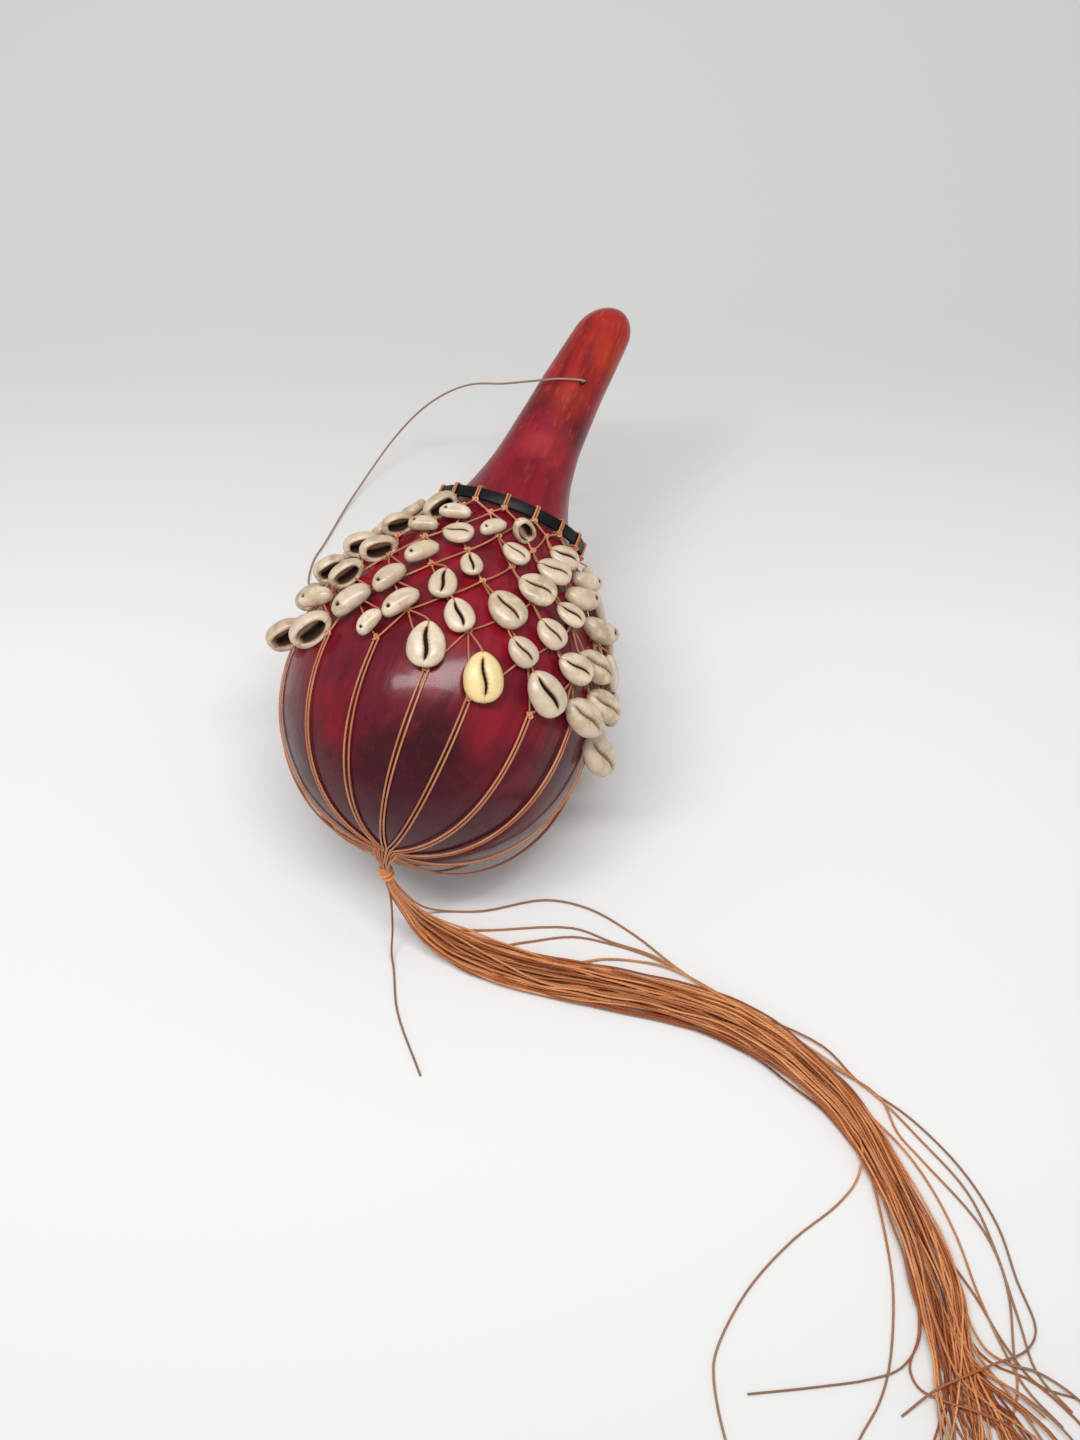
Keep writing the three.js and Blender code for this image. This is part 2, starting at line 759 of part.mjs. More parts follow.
function makeTrunk() {
  const cap = tasselNeckRadius * Math.SQRT1_2;
  const dome = tasselHead.clone().addScaledVector(bindingDirection, -cap);
  const rings = [crossSection(dome, bindingDirection, upright, cap, cap, trunkSides)];
  for (let step = 0; step <= trunkSteps; step++) {
    const { halfWidth, halfDepth } = trunkSection((trunkLength * step) / trunkSteps);
    const at = trunkCurve.getPointAt(step / trunkSteps);
    const along = trunkCurve.getTangentAt(step / trunkSteps);
    rings.push(crossSection(at, along, upright, halfWidth, halfDepth, trunkSides));
  }
  const crown = tasselHead.clone().addScaledVector(bindingDirection, -tasselNeckRadius);
  return skinRings(rings, crown, trunkCurve.getPointAt(1));
}

// A place beside the trunk, a strand's own thickness off its flank
function besideTrunk(distance, side) {
  const share = distance / trunkLength;
  const across = trunkCurve.getTangentAt(share).cross(upright).normalize();
  const reach = trunkSection(distance).halfWidth + clearance + cordDiameter / 2;
  return trunkCurve.getPointAt(share).addScaledVector(across, side * reach);
}

// Windings that hold the strands together below the gather, as one unbroken helix
function bindingPoints() {
  const radius = tasselNeckRadius + clearance + cordDiameter / 2;
  const across = bindingDirection.clone().cross(upright).normalize();
  const over = across.clone().cross(bindingDirection);
  const points = [];
  for (let step = 0; step <= bindingTurns * bindingSteps; step++) {
    const angle = (2 * Math.PI * step) / bindingSteps;
    const point = tasselHead.clone();
    point.addScaledVector(bindingDirection, bindingStart + (bindingPitch * step) / bindingSteps);
    point.addScaledVector(across, radius * Math.cos(angle));
    points.push(point.addScaledVector(over, radius * Math.sin(angle)));
  }
  const last = points.length - 1;
  const firstStretch = points[0].clone().sub(points[1]).setLength(cordDiameter);
  const lastStretch = points[last].clone().sub(points[last - 1]).setLength(cordDiameter);
  return [points[0].clone().add(firstStretch), ...points, points[last].clone().add(lastStretch)];
}

// Least gap between turns: points at least half a turn apart along the helix
function leastGap(points) {
  let least = Infinity;
  for (let i = 0; i < points.length; i++) {
    for (let j = i + bindingSteps / 2; j < points.length; j++) {
      least = Math.min(least, points[i].distanceTo(points[j]) - cordDiameter);
    }
  }
  return least;
}

// Locks of strands that fan out from the end of the trunk
function makeLock(index) {
  const side = index - (locks - 1) / 2;
  const end = trunkCurve.getPointAt(1).addScaledVector(trunkCurve.getTangentAt(1), clearance);
  const tail = new THREE.CatmullRomCurve3([end, ...tailRoute.map(toVector)], false, "centripetal");
  const length = tail.getLength();
  const rings = [];
  for (let step = 0; step <= lockSteps; step++) {
    const distance = (length * step) / lockSteps;
    const along = step > 0 ? tail.getTangentAt(step / lockSteps) : trunkCurve.getTangentAt(1);
    const across = along.clone().cross(upright).normalize();
    const aside = side * (lockSpacing + lockFan * distance);
    const at = tail.getPointAt(step / lockSteps).addScaledVector(across, aside);
    const halfWidth = (lockSpacing - clearance) / 2;
    rings.push(crossSection(at, along, upright, halfWidth, lockDepth / 2, lockSides));
  }
  const sumOf = (ring) => ring.reduce((sum, point) => sum.add(point), new Vector3());
  const middleOf = (ring) => sumOf(ring).divideScalar(ring.length);
  return skinRings(rings, middleOf(rings[0]), middleOf(rings[lockSteps]));
}

// The string passes through the neck, drapes over it and comes back from below
function stringPoints() {
  const farSide = onGourd(stringHoleHeight, stringHoleTurn + 180, 0);
  const through = onGourd(stringHoleHeight, stringHoleTurn, 0).sub(farSide);
  const centre = new Vector3(leanAt(stringHoleHeight), 0, stringHoleHeight);
  const inHole = (share) => aboveTable(centre.clone().addScaledVector(through, share));
  const lift = stringDiameter / 2 + clearance;
  const draped = stringOverNeck.map(([height, turn]) => aboveTable(onGourd(height, turn, 2 * lift)));
  const leaving = [0.03, 0.5, 0.57].map(inHole);
  const returning = [-0.56, -0.5, -0.03].map(inHole);
  return [...leaving, ...draped, ...stringRoute.map(toVector), ...returning];
}

// What lies loose: the tassel and the string
const loose = new THREE.Group();
loose.position.set(instrument.position.x, instrument.position.y, 0);
addPart(loose, "tassel_trunk", makeTrunk(), waxedCord);
const binding = bindingPoints();
addPart(loose, "tassel_binding", cordAlong(binding, cordDiameter, bindingSides, 1), waxedCord);
for (let lock = 0; lock < locks; lock++) {
  addPart(loose, numbered("tassel_lock", lock), makeLock(lock), waxedCord);
}
strayRoutes.forEach(({ from, side, points }, i) => {
  const route = [besideTrunk(from, side), ...points.map(toVector)];
  addPart(loose, numbered("tassel_strand", i), cordAlong(route, cordDiameter, strandSides, 2), waxedCord);
});
const string = cordAlong(stringPoints(), stringDiameter, stringSides, stringSteps);
addPart(loose, "hang_string", string, darkString);

console.log(`least gap of the binding to itself: ${leastGap(binding).toFixed(2)} mm`);

const shekere = new THREE.Group();
shekere.add(instrument, loose);
shekere.updateMatrixWorld(true);

export default shekere;
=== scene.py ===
# Shekere on a pale table: lacquered gourd, hoop, knotted net with cowries, bound tassel and hanging string.
import json
import math
import random

import bmesh
import bpy
from mathutils import Matrix, Quaternion, Vector, noise


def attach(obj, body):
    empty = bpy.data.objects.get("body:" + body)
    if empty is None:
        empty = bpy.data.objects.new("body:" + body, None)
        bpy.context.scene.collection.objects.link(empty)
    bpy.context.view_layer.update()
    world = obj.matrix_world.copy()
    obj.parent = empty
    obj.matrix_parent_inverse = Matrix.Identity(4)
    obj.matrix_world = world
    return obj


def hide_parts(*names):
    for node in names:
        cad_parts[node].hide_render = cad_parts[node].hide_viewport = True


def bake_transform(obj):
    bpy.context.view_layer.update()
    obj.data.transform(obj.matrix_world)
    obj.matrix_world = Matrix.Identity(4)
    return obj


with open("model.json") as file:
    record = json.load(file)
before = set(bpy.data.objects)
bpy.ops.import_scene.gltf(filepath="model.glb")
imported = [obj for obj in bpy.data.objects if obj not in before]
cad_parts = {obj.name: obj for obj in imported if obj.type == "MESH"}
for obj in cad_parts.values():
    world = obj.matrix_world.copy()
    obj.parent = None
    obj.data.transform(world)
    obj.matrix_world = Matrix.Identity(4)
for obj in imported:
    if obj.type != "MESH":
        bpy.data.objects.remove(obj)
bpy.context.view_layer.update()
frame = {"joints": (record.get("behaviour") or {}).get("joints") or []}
scene = bpy.context.scene
scene.view_settings.view_transform = "Standard"
mm = 0.001
fullTurn = 6.28
restHeight = 1  # of a cord's middle over the table, where its route gives no height
tableShare = 0.55  # of a cord's thickness, the least from its middle to the table
upright = Vector((0, 0, 1))

# The gourd's own axes come from the hinge that the net turns on
twist = next(joint for joint in frame["joints"] if joint["name"] == "net_twist")
gourdCentre = Vector(twist["pos_m"])
gourdAxis = Vector(twist["axis"]).normalized()
gourdRight = gourdAxis.cross(upright).normalized()
gourdSky = gourdRight.cross(gourdAxis)
tableOrigin = Vector((gourdCentre.x, gourdCentre.y, 0))

cameraLook = {"from": (49.2, -366.7, 679.4), "tilt": 28.0, "lens": 40.0}
tilt = math.radians(cameraLook["tilt"])
camera = bpy.data.objects.new("camera", bpy.data.cameras.new("camera"))
camera.data.lens = cameraLook["lens"]
camera.location = gourdCentre + Vector(cameraLook["from"]) * mm
camera.rotation_euler = (tilt, 0, 0)
scene.collection.objects.link(camera)
scene.camera = camera
viewRight, viewUp = Vector((1, 0, 0)), Vector((0, math.cos(tilt), math.sin(tilt)))
toViewer = viewRight.cross(viewUp)
print("camera placed")


def linear(hexColour):
    parts = [int(hexColour[i:i + 2], 16) / 255 for i in (1, 3, 5)]
    return [c / 12.92 if c <= 0.04045 else ((c + 0.055) / 1.055) ** 2.4 for c in parts] + [1]


# A point in millimetres from the spot under the gourd's centre
def onTable(point):
    return tableOrigin + Vector((*point, restHeight)[:3]) * mm


# One smooth route through its points, as a cord takes it
def throughPoints(points, steps):
    ends = [2 * points[0] - points[1], *points, 2 * points[-1] - points[-2]]
    route = []
    for before, start, end, after in zip(ends, ends[1:], ends[2:], ends[3:]):
        spans = ((before, start), (start, end), (end, after))
        a, b, c = [max((q - p).length, 1e-9) ** 0.5 for p, q in spans]
        leave = ((start - before) / a - (end - before) / (a + b) + (end - start) / b) * b
        arrive = ((end - start) / b - (after - start) / (b + c) + (after - end) / c) * b
        for step in range(steps):
            t = step / steps
            t2, t3 = t * t, t * t * t
            route.append(start * (2 * t3 - 3 * t2 + 1) + leave * (t3 - 2 * t2 + t)
                         + end * (3 * t2 - 2 * t3) + arrive * (t3 - t2))
    return route + [points[-1].copy()]


def routeLength(route):
    return sum((q - p).length for p, q in zip(route, route[1:]))


# Points evenly spaced along a route, each with its distance from the start
def evenly(route, spacing):
    total = routeLength(route)
    count = max(2, round(total / spacing))
    found, walked, i = [], 0, 0
    for distance in [total * k / count for k in range(count + 1)]:
        while i < len(route) - 2 and walked + (route[i + 1] - route[i]).length < distance:
            walked += (route[i + 1] - route[i]).length
            i += 1
        step = max((route[i + 1] - route[i]).length, 1e-9)
        found.append((distance, route[i].lerp(route[i + 1], min(1, (distance - walked) / step))))
    return found


def blendStep(low, high, value):
    t = min(1, max(0, (value - low) / (high - low)))
    return t * t * (3 - 2 * t)


def addPiece(name, mesh):
    piece = bpy.data.objects.new(name, mesh)
    scene.collection.objects.link(piece)
    return piece


# Faces from each ring of points to the next
def joinRings(made, rings):
    for ring, nextRing in zip(rings, rings[1:]):
        for k in range(len(ring)):
            j = (k + 1) % len(ring)
            made.faces.new((ring[k], ring[j], nextRing[j], nextRing[k]))


def closeRing(made, ring, tip):
    middle = made.verts.new(tip)
    for k in range(len(ring)):
        made.faces.new((ring[k], ring[(k + 1) % len(ring)], middle))


def meshFrom(made, name, smooth=True):
    if smooth:
        bmesh.ops.recalc_face_normals(made, faces=made.faces[:])
        for face in made.faces:
            face.smooth = True
    mesh = bpy.data.meshes.new(name)
    made.to_mesh(mesh)
    made.free()
    return mesh


def addNode(tree, kind, values=(), **settings):
    node = tree.nodes.new(kind)
    for name, value in settings.items():
        setattr(node, name, value)
    for socket, value in dict(values).items():
        node.inputs[socket].default_value = value
    return node


# Links as rows: a node and its output, then the node and the input that it feeds
def wireAll(tree, *links):
    for source, output, target, socket in links:
        tree.links.new(source.outputs[output], target.inputs[socket])


# A tree with its own inputs and outputs, each named with its kind of socket
def newTree(name, kind, inputs, outputs):
    tree = bpy.data.node_groups.new(name, kind)
    for way, sockets in (("INPUT", inputs), ("OUTPUT", outputs)):
        for label, socketKind in sockets.items():
            tree.interface.new_socket(label, in_out=way, socket_type="NodeSocket" + socketKind)
    return tree, addNode(tree, "NodeGroupInput"), addNode(tree, "NodeGroupOutput")


# Cords: a round section carried along paths, keeping the distance along and the way round for the twist
def makeCordTree():
    inputs = {"Geometry": "Geometry", "Radius": "Float", "Sides": "Int", "Finish": "Material"}
    tree, given, result = newTree("cordAlongPath", "GeometryNodeTree", inputs, {"Geometry": "Geometry"})
    toCurve = addNode(tree, "GeometryNodeMeshToCurve")
    distance = addNode(tree, "GeometryNodeSplineParameter")
    along = addNode(tree, "GeometryNodeStoreNamedAttribute", {"Name": "along"}, data_type="FLOAT")
    section = addNode(tree, "GeometryNodeCurvePrimitiveCircle")
    place = addNode(tree, "GeometryNodeInputPosition")
    outwards = addNode(tree, "ShaderNodeVectorMath", operation="NORMALIZE")
    around = addNode(tree, "GeometryNodeStoreNamedAttribute", {"Name": "around"}, data_type="FLOAT_VECTOR")
    tube = addNode(tree, "GeometryNodeCurveToMesh", {"Fill Caps": True})
    smooth = addNode(tree, "GeometryNodeSetShadeSmooth")
    realize = addNode(tree, "GeometryNodeRealizeInstances")
    finish = addNode(tree, "GeometryNodeSetMaterial")
    wireAll(tree, (given, "Geometry", toCurve, "Mesh"), (toCurve, "Curve", along, "Geometry"),
            (distance, "Length", along, "Value"), (given, "Radius", section, "Radius"),
            (given, "Sides", section, "Resolution"), (section, "Curve", around, "Geometry"),
            (place, "Position", outwards, 0), (outwards, "Vector", around, "Value"),
            (along, "Geometry", tube, "Curve"), (around, "Geometry", tube, "Profile Curve"),
            (tube, "Mesh", smooth, "Geometry"), (smooth, "Geometry", realize, "Geometry"),
            (realize, "Geometry", finish, "Geometry"), (given, "Finish", finish, "Material"),
            (finish, "Geometry", result, "Geometry"))
    return tree


# Shells and knots: one shape set on points, with a turn and a size for each
def makeScatterTree():
    inputs = {"Geometry": "Geometry", "Shape": "Object", "Finish": "Material"}
    tree, given, result = newTree("shapeOnPoints", "GeometryNodeTree", inputs, {"Geometry": "Geometry"})
    toPoints = addNode(tree, "GeometryNodeMeshToPoints")
    shape = addNode(tree, "GeometryNodeObjectInfo")
    turn = addNode(tree, "GeometryNodeInputNamedAttribute", {"Name": "turnTo"}, data_type="QUATERNION")
    size = addNode(tree, "GeometryNodeInputNamedAttribute", {"Name": "size"}, data_type="FLOAT_VECTOR")
    setOut = addNode(tree, "GeometryNodeInstanceOnPoints")
    realize = addNode(tree, "GeometryNodeRealizeInstances")
    finish = addNode(tree, "GeometryNodeSetMaterial")
    wireAll(tree, (given, "Geometry", toPoints, "Mesh"), (given, "Shape", shape, "Object"),
            (toPoints, "Points", setOut, "Points"), (shape, "Geometry", setOut, "Instance"),
            (turn, "Attribute", setOut, "Rotation"), (size, "Attribute", setOut, "Scale"),
            (setOut, "Instances", realize, "Geometry"), (realize, "Geometry", finish, "Geometry"),
            (given, "Finish", finish, "Material"), (finish, "Geometry", result, "Geometry"))
    return tree


cordTree = makeCordTree()
scatterTree = makeScatterTree()


def evaluatedMesh(piece):
    layer = bpy.context.evaluated_depsgraph_get()
    shown = piece.evaluated_get(layer)
    return bpy.data.meshes.new_from_object(shown, preserve_all_data_layers=True, depsgraph=layer)


# Runs a tree on a starting mesh and keeps the result as a plain mesh
def bake(name, startMesh, tree, values):
    host = addPiece(name + "Host", startMesh)
    modifier = host.modifiers.new("make", "NODES")
    modifier.node_group = tree
    for item in tree.interface.items_tree:
        if item.in_out == "INPUT" and item.name in values:
            modifier[item.identifier] = values[item.name]
    made = evaluatedMesh(host)
    bpy.data.objects.remove(host)
    return addPiece(name, made)


# Cords along routes, each as pale as its tint says, and duller where it lies alone
def makeCords(name, routes, settings, finish, tints, alone=None):
    points, edges, shades = [], [], []
    for k, route in enumerate(routes):
        closed = (route[0] - route[-1]).length < 1e-7
        first = len(points)
        points += route[:-1] if closed else route
        shades += [tints[k % len(tints)]] * (len(points) - first)
        edges += [(i, i + 1) for i in range(first, len(points) - 1)]
        if closed:
            edges.append((len(points) - 1, first))
    path = bpy.data.meshes.new(name + "Path")
    path.from_pydata(points, edges, [])
    path.attributes.new("tint", "FLOAT", "POINT").data.foreach_set("value", shades)
    if alone:
        path.attributes.new("alone", "FLOAT", "POINT").data.foreach_set("value", alone)
    values = {"Radius": settings["cord"] / 2 * mm, "Sides": settings["sides"], "Finish": finish}
    return bake(name, path, cordTree, values)


def setOnPoints(name, places, shape, finish):
    mesh = bpy.data.meshes.new(name + "Points")
    mesh.from_pydata([place["at"] for place in places], [], [])
    for attribute, kind in (("turnTo", "QUATERNION"), ("size", "FLOAT_VECTOR"), ("tint", "FLOAT_VECTOR")):
        mesh.attributes.new(attribute, kind, "POINT")
    for i, place in enumerate(places):
        mesh.attributes["turnTo"].data[i].value = place["turn"]
        mesh.attributes["size"].data[i].vector = place["size"]
        mesh.attributes["tint"].data[i].vector = place["tint"]
    return bake(name, mesh, scatterTree, {"Shape": shape, "Finish": finish})


def finishPiece(piece, body, slot, *nodes):
    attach(piece, body)
    if nodes:
        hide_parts(*nodes)


# Cloudy patches between two limits, drawn out along a grain
def makePatches():
    inputs = {"Scale": "Float", "Detail": "Float", "Grain": "Vector", "Draw": "Float", "Low": "Float",
              "High": "Float"}
    tree, given, result = newTree("patches", "ShaderNodeTree", inputs, {"Amount": "Float"})
    place = addNode(tree, "ShaderNodeTexCoord")
    along = addNode(tree, "ShaderNodeVectorMath", operation="DOT_PRODUCT")
    squeeze = addNode(tree, "ShaderNodeMath", operation="MULTIPLY")
    drawn = addNode(tree, "ShaderNodeVectorMath", operation="MULTIPLY_ADD")
    cloud = addNode(tree, "ShaderNodeTexNoise")
    limit = addNode(tree, "ShaderNodeMapRange", interpolation_type="SMOOTHSTEP")
    wireAll(tree, (place, "Object", along, 0), (given, "Grain", along, 1), (along, "Value", squeeze, 0),
            (given, "Draw", squeeze, 1), (given, "Grain", drawn, 0), (squeeze, "Value", drawn, 1),
            (place, "Object", drawn, 2), (drawn, "Vector", cloud, "Vector"),
            (given, "Scale", cloud, "Scale"), (given, "Detail", cloud, "Detail"),
            (cloud, "Fac", limit, "Value"), (given, "Low", limit, "From Min"),
            (given, "High", limit, "From Max"), (limit, "Result", result, "Amount"))
    return tree


# Two plies laid round a cord, as a height and as painted shade in the groove between them
def makePlies():
    outputs = {"Height": "Float", "GrooveShade": "Float"}
    tree, given, result = newTree("plies", "ShaderNodeTree", {"Pitch": "Float"}, outputs)
    along = addNode(tree, "ShaderNodeAttribute", attribute_name="along")
    around = addNode(tree, "ShaderNodeAttribute", attribute_name="around")
    parts = addNode(tree, "ShaderNodeSeparateXYZ")
    angle = addNode(tree, "ShaderNodeMath", operation="ARCTAN2")
    turns = addNode(tree, "ShaderNodeMath", operation="DIVIDE")
    phase = addNode(tree, "ShaderNodeMath", {1: math.pi}, operation="MULTIPLY_ADD")
    ridge = addNode(tree, "ShaderNodeMath", operation="COSINE")
    height = addNode(tree, "ShaderNodeMath", operation="ABSOLUTE")
    grooveShade = addNode(tree, "ShaderNodeMapRange", {"From Min": 0.55, "From Max": 0.0},
                     interpolation_type="SMOOTHSTEP")
    wireAll(tree, (around, "Vector", parts, "Vector"), (parts, "Y", angle, 0), (parts, "X", angle, 1),
            (along, "Fac", turns, 0), (given, "Pitch", turns, 1), (turns, "Value", phase, 0),
            (angle, "Value", phase, 2), (phase, "Value", ridge, 0), (ridge, "Value", height, 0),
            (height, "Value", grooveShade, "Value"), (height, "Value", result, "Height"),
            (grooveShade, "Result", result, "GrooveShade"))
    return tree


patches = makePatches()
plies = makePlies()


def newMaterial(name, values):
    material = bpy.data.materials.new(name)
    material.use_nodes = True
    surface = material.node_tree.nodes["Principled BSDF"]
    for socket, value in values.items():
        surface.inputs[socket].default_value = value
    return material, material.node_tree, surface


def addPatches(tree, **values):
    named = {name.capitalize(): value for name, value in values.items()}
    return addNode(tree, "ShaderNodeGroup", named, node_tree=patches).outputs["Amount"]


# From one colour to another; each is written as a hex value or comes from a node
def blendColour(tree, amount, first, second):
    node = addNode(tree, "ShaderNodeMix", data_type="RGBA")
    tree.links.new(amount, node.inputs[0])
    for socket, colour in ((node.inputs[6], first), (node.inputs[7], second)):
        if isinstance(colour, str):
            socket.default_value = linear(colour)
        else:
            tree.links.new(colour, socket)
    return node.outputs[2]


def combine(tree, operation, first, second):
    node = addNode(tree, "ShaderNodeMath", operation=operation)
    tree.links.new(first, node.inputs[0])
    tree.links.new(second, node.inputs[1])
    return node.outputs["Value"]


def spread(tree, value, toLow, toHigh, low=0.0, high=1.0):
    node = addNode(tree, "ShaderNodeMapRange", {
        "From Min": low, "From Max": high, "To Min": toLow, "To Max": toHigh})
    tree.links.new(value, node.inputs["Value"])
    return node.outputs["Result"]


def addBump(tree, surface, height, strength, distance):
    bump = addNode(tree, "ShaderNodeBump", {"Strength": strength, "Distance": distance})
    tree.links.new(height, bump.inputs["Height"])
    tree.links.new(bump.outputs["Normal"], surface.inputs["Normal"])


# The three numbers that a point carries as its tint
def tintParts(tree):
    tint = addNode(tree, "ShaderNodeAttribute", attribute_name="tint")
    parts = addNode(tree, "ShaderNodeSeparateXYZ")
    wireAll(tree, (tint, "Vector", parts, "Vector"))
    return parts.outputs


cordLook = {"deep": "#752c04", "colour": "#b95c1c", "pale": "#f7ae70", "grooveShade": "#70310e",
            "alone": "#927156", "pitch": 2.6, "roughness": 0.38}
netLook = {"deep": "#7a3517", "colour": "#b86130", "pale": "#f8b585", "grooveShade": "#6b331a",
           "pitch": 2.6, "roughness": 0.4}
stringLook = {"deep": "#7a5a46", "colour": "#997a65", "pale": "#bfa18b", "grooveShade": "#5c4232",
              "pitch": 2.4, "roughness": 0.6}


def makeCordFinish(name, look):
    material, tree, surface = newMaterial(name, {
        "Roughness": look["roughness"], "Specular IOR Level": 0.32, "Sheen Weight": 0.08})
    twisted = addNode(tree, "ShaderNodeGroup", {"Pitch": look["pitch"] * mm}, node_tree=plies)
    worn = addPatches(tree, scale=90.0, detail=4.0, low=0.3, high=0.75)
    base = blendColour(tree, tintParts(tree)["X"], look["deep"], look["pale"])
    base = blendColour(tree, spread(tree, worn, 0.1, 0.6), base, look["colour"])
    if "alone" in look:  # a strand by itself looks duller than one among others
        alone = addNode(tree, "ShaderNodeAttribute", attribute_name="alone")
        base = blendColour(tree, alone.outputs["Fac"], base, look["alone"])
    # painted shade in the groove between the plies
    base = blendColour(tree, spread(tree, twisted.outputs["GrooveShade"], 0, 0.4), base, look["grooveShade"])
    tree.links.new(base, surface.inputs["Base Color"])
    addBump(tree, surface, twisted.outputs["Height"], 0.5, 0.0002)
    return material


waxedCord = makeCordFinish("waxedCord", cordLook)
paleNetCord = makeCordFinish("paleNetCord", netLook)  # paler and pinker in the net than in the tassel
thinString = makeCordFinish("thinString", stringLook)

# Tassel: strands that leave the binding together and wander inside the trunk's width, some spilling out
tassel = {
    "cord": 1.15, "sides": 6, "bundled": 32, "inner": 28, "locks": 6, "seed": 7, "spacing": 5,
    "tints": (0.1, 0.3, 0.55, 0.8, 1), "shadedInnerTints": (0, 0.25, 0.1),
    # The trunk is round at its neck, flat on the table, narrower from the bend on, and fans out at its end
    "neckRadius": 1.9, "halfWidth": 10.6, "halfDepth": 3.8, "flareStart": 5, "flareLength": 75,
    "narrowing": 2.4, "narrows": (200, 300), "opens": 70, "opening": 0.08,
    "fan": 0.85, "fanReach": 45, "fanStart": 10,
    # How a strand strays from its lane: waves, kinks and a curled end; a pace is so many waves to a metre
    "wave": 0.1, "wavePace": (4, 11), "drift": (0.1, 0.2, 0.42), "driftPace": (2, 5), "kink": 0.25,
    "kinkPace": (20, 40), "curl": 0.65, "crossing": (0.2, 1.8), "calmed": (12, 70), "squeeze": 0.3,
    "heaped": 1.1, "edgeDepth": 0.12, "slackened": 0.5, "slackens": (-40, 30), "curls": (-30, 50),
    # Lanes: how far across and how high they lie, and how far past the trunk their strands end
    "innerSpan": 0.9, "innerRise": (-0.8, -0.1), "innerPast": (20, 90),
    "lockSpan": 0.82, "lockShift": 0.08, "lockRise": (-0.1, 0.5), "lockSway": (0.16, 2, 6),
    "laneShift": 0.22, "laneRise": 0.5, "lanePast": (30, 100),
    "leavingLane": 0.8, "leavingRise": (-0.2, 0.6), "leavingGap": 12, "joinedPast": (20, 80),
    # How dull a strand gets by itself, and how far from the trunk
    "dulled": 0.85, "apart": (9, 30),
    "descent": [(-21, -79.5, 45), (-15.5, -83, 32), (-9, -87, 19), (0, -91.5, 10.5), (11, -96, 6.2)],
    "trunkHeight": 4.2,
    "trunk": [(29.5, -102.4), (49, -108), (69, -111.8), (98, -117.5), (127, -125.3), (146, -133.3),
              (164.6, -145.7), (180.3, -159.3), (192.9, -172.8), (202.3, -187.3), (210.3, -203.4),
              (217, -218.3), (222.9, -234), (227.3, -251.2), (230, -268), (231.8, -280)],
    "tailHeight": 3.2, "tail": [(236, -295), (243.5, -311), (256, -344), (268, -378)],
    # Strands that leave the bundle: how far along, on which side, where they join it again, where they lie
    "strays": [
        (24, 1, None, [(-23, -88.5, 18), (-24.2, -97, 4.5), (-23, -105, 1.4), (-20.5, -125.5),
                       (-8, -157.5)]),
        (22, -1, 218, [(-10, -75.5, 14), (1, -73.5, 1.6), (20.5, -73.3), (52, -67.4), (74, -72.2),
                       (97, -86.6), (116, -103.5, 3), (130.5, -115, 5)]),
        (38, -1, 208, [(4, -83.5, 4), (22.5, -83.6, 1.4), (65.5, -82.4), (85, -89.8), (104.5, -97, 2),
                       (118, -106, 4)]),
        (226, -1, None, [(185.5, -143.5, 3), (201.5, -160.5, 1.2), (224, -177.5), (245.5, -201.5),
                         (259, -227), (264.5, -251), (270, -272), (264.5, -280.5, 3), (249, -286.5, 7.5),
                         (234, -292, 9), (221, -297.5, 6), (206.5, -307.5)]),
        (315, 1, None, [(207.5, -236), (208, -258), (203, -288), (197, -302.5), (188, -315.5),
                        (176, -336)]),
        (304, 1, None, [(196.5, -206, 1.6), (186.5, -217.5), (164.5, -233.5), (142, -256), (127, -281.5),
                        (125.5, -292), (129, -315.5), (136, -336)]),
        (352, 1, None, [(218.5, -263, 2.4), (217, -277, 2.2), (208, -288, 2.2), (194, -292.5, 1.4),
                        (171.5, -295.5), (140, -298.5)]),
    ],
    "spills": [
        (235, -1, None, [(206.5, -165, 2.2), (228, -188), (247, -212), (256, -236), (263, -268),
                         (268, -290), (281, -306)]),
        (262, -1, None, [(210.5, -168, 2.2), (217.5, -184.5), (226.5, -196), (249.5, -224.5), (257, -240.5),
                         (260, -258), (259, -279.5), (258, -298.5), (250, -318)]),
        (285, -1, None, [(219, -192, 2), (231, -211, 1.2), (240, -233), (246, -256), (254, -279),
                         (262, -296), (276, -312)]),
        (345, -1, None, [(231.5, -236, 2.4), (245, -258), (256, -279.5), (267.5, -294.5), (284.5, -300.5)]),
        (366, 1, None, [(217.5, -274, 2), (212, -288, 1.6), (215, -296, 1.6), (222.5, -300.5, 3.2),
                        (238, -306, 6.5), (252, -312, 4), (262, -322)]),
        (62, -1, 203, [(23, -92.6, 3), (42, -90, 1.4), (65.5, -87.1), (85, -91), (104.5, -98, 2),
                       (121, -108, 4)]),
        (110, -1, 210, [(61.5, -101.6, 3.5), (81, -99, 2), (96.5, -100, 2), (112, -103.7, 3.5),
                        (128, -112.5, 4.5)]),
    ],
    "head": (5, 3, -75), "headReach": 81.4,  # the way from the gourd's centre to where the strands start
}
tasselRight, tasselSky, tasselUp = tassel["head"]
footDirection = (gourdRight * tasselRight + gourdSky * tasselSky + gourdAxis * tasselUp).normalized()
tasselHead = gourdCentre + footDirection * tassel["headReach"] * mm
descent = [onTable(point) for point in tassel["descent"]]
trunkPoints = [tasselHead, tasselHead.lerp(descent[0], 0.5)] + descent
trunkPoints += [onTable((*point, tassel["trunkHeight"])) for point in tassel["trunk"]]
tailPoints = [onTable((*point, tassel["tailHeight"])) for point in tassel["tail"]]
trunkLength = routeLength(throughPoints(trunkPoints, 10))
wholeRoute = throughPoints(trunkPoints + tailPoints, 10)
wholeSteps = evenly(wholeRoute, tassel["spacing"] * mm)
strandLow = tassel["cord"] * tableShare * mm


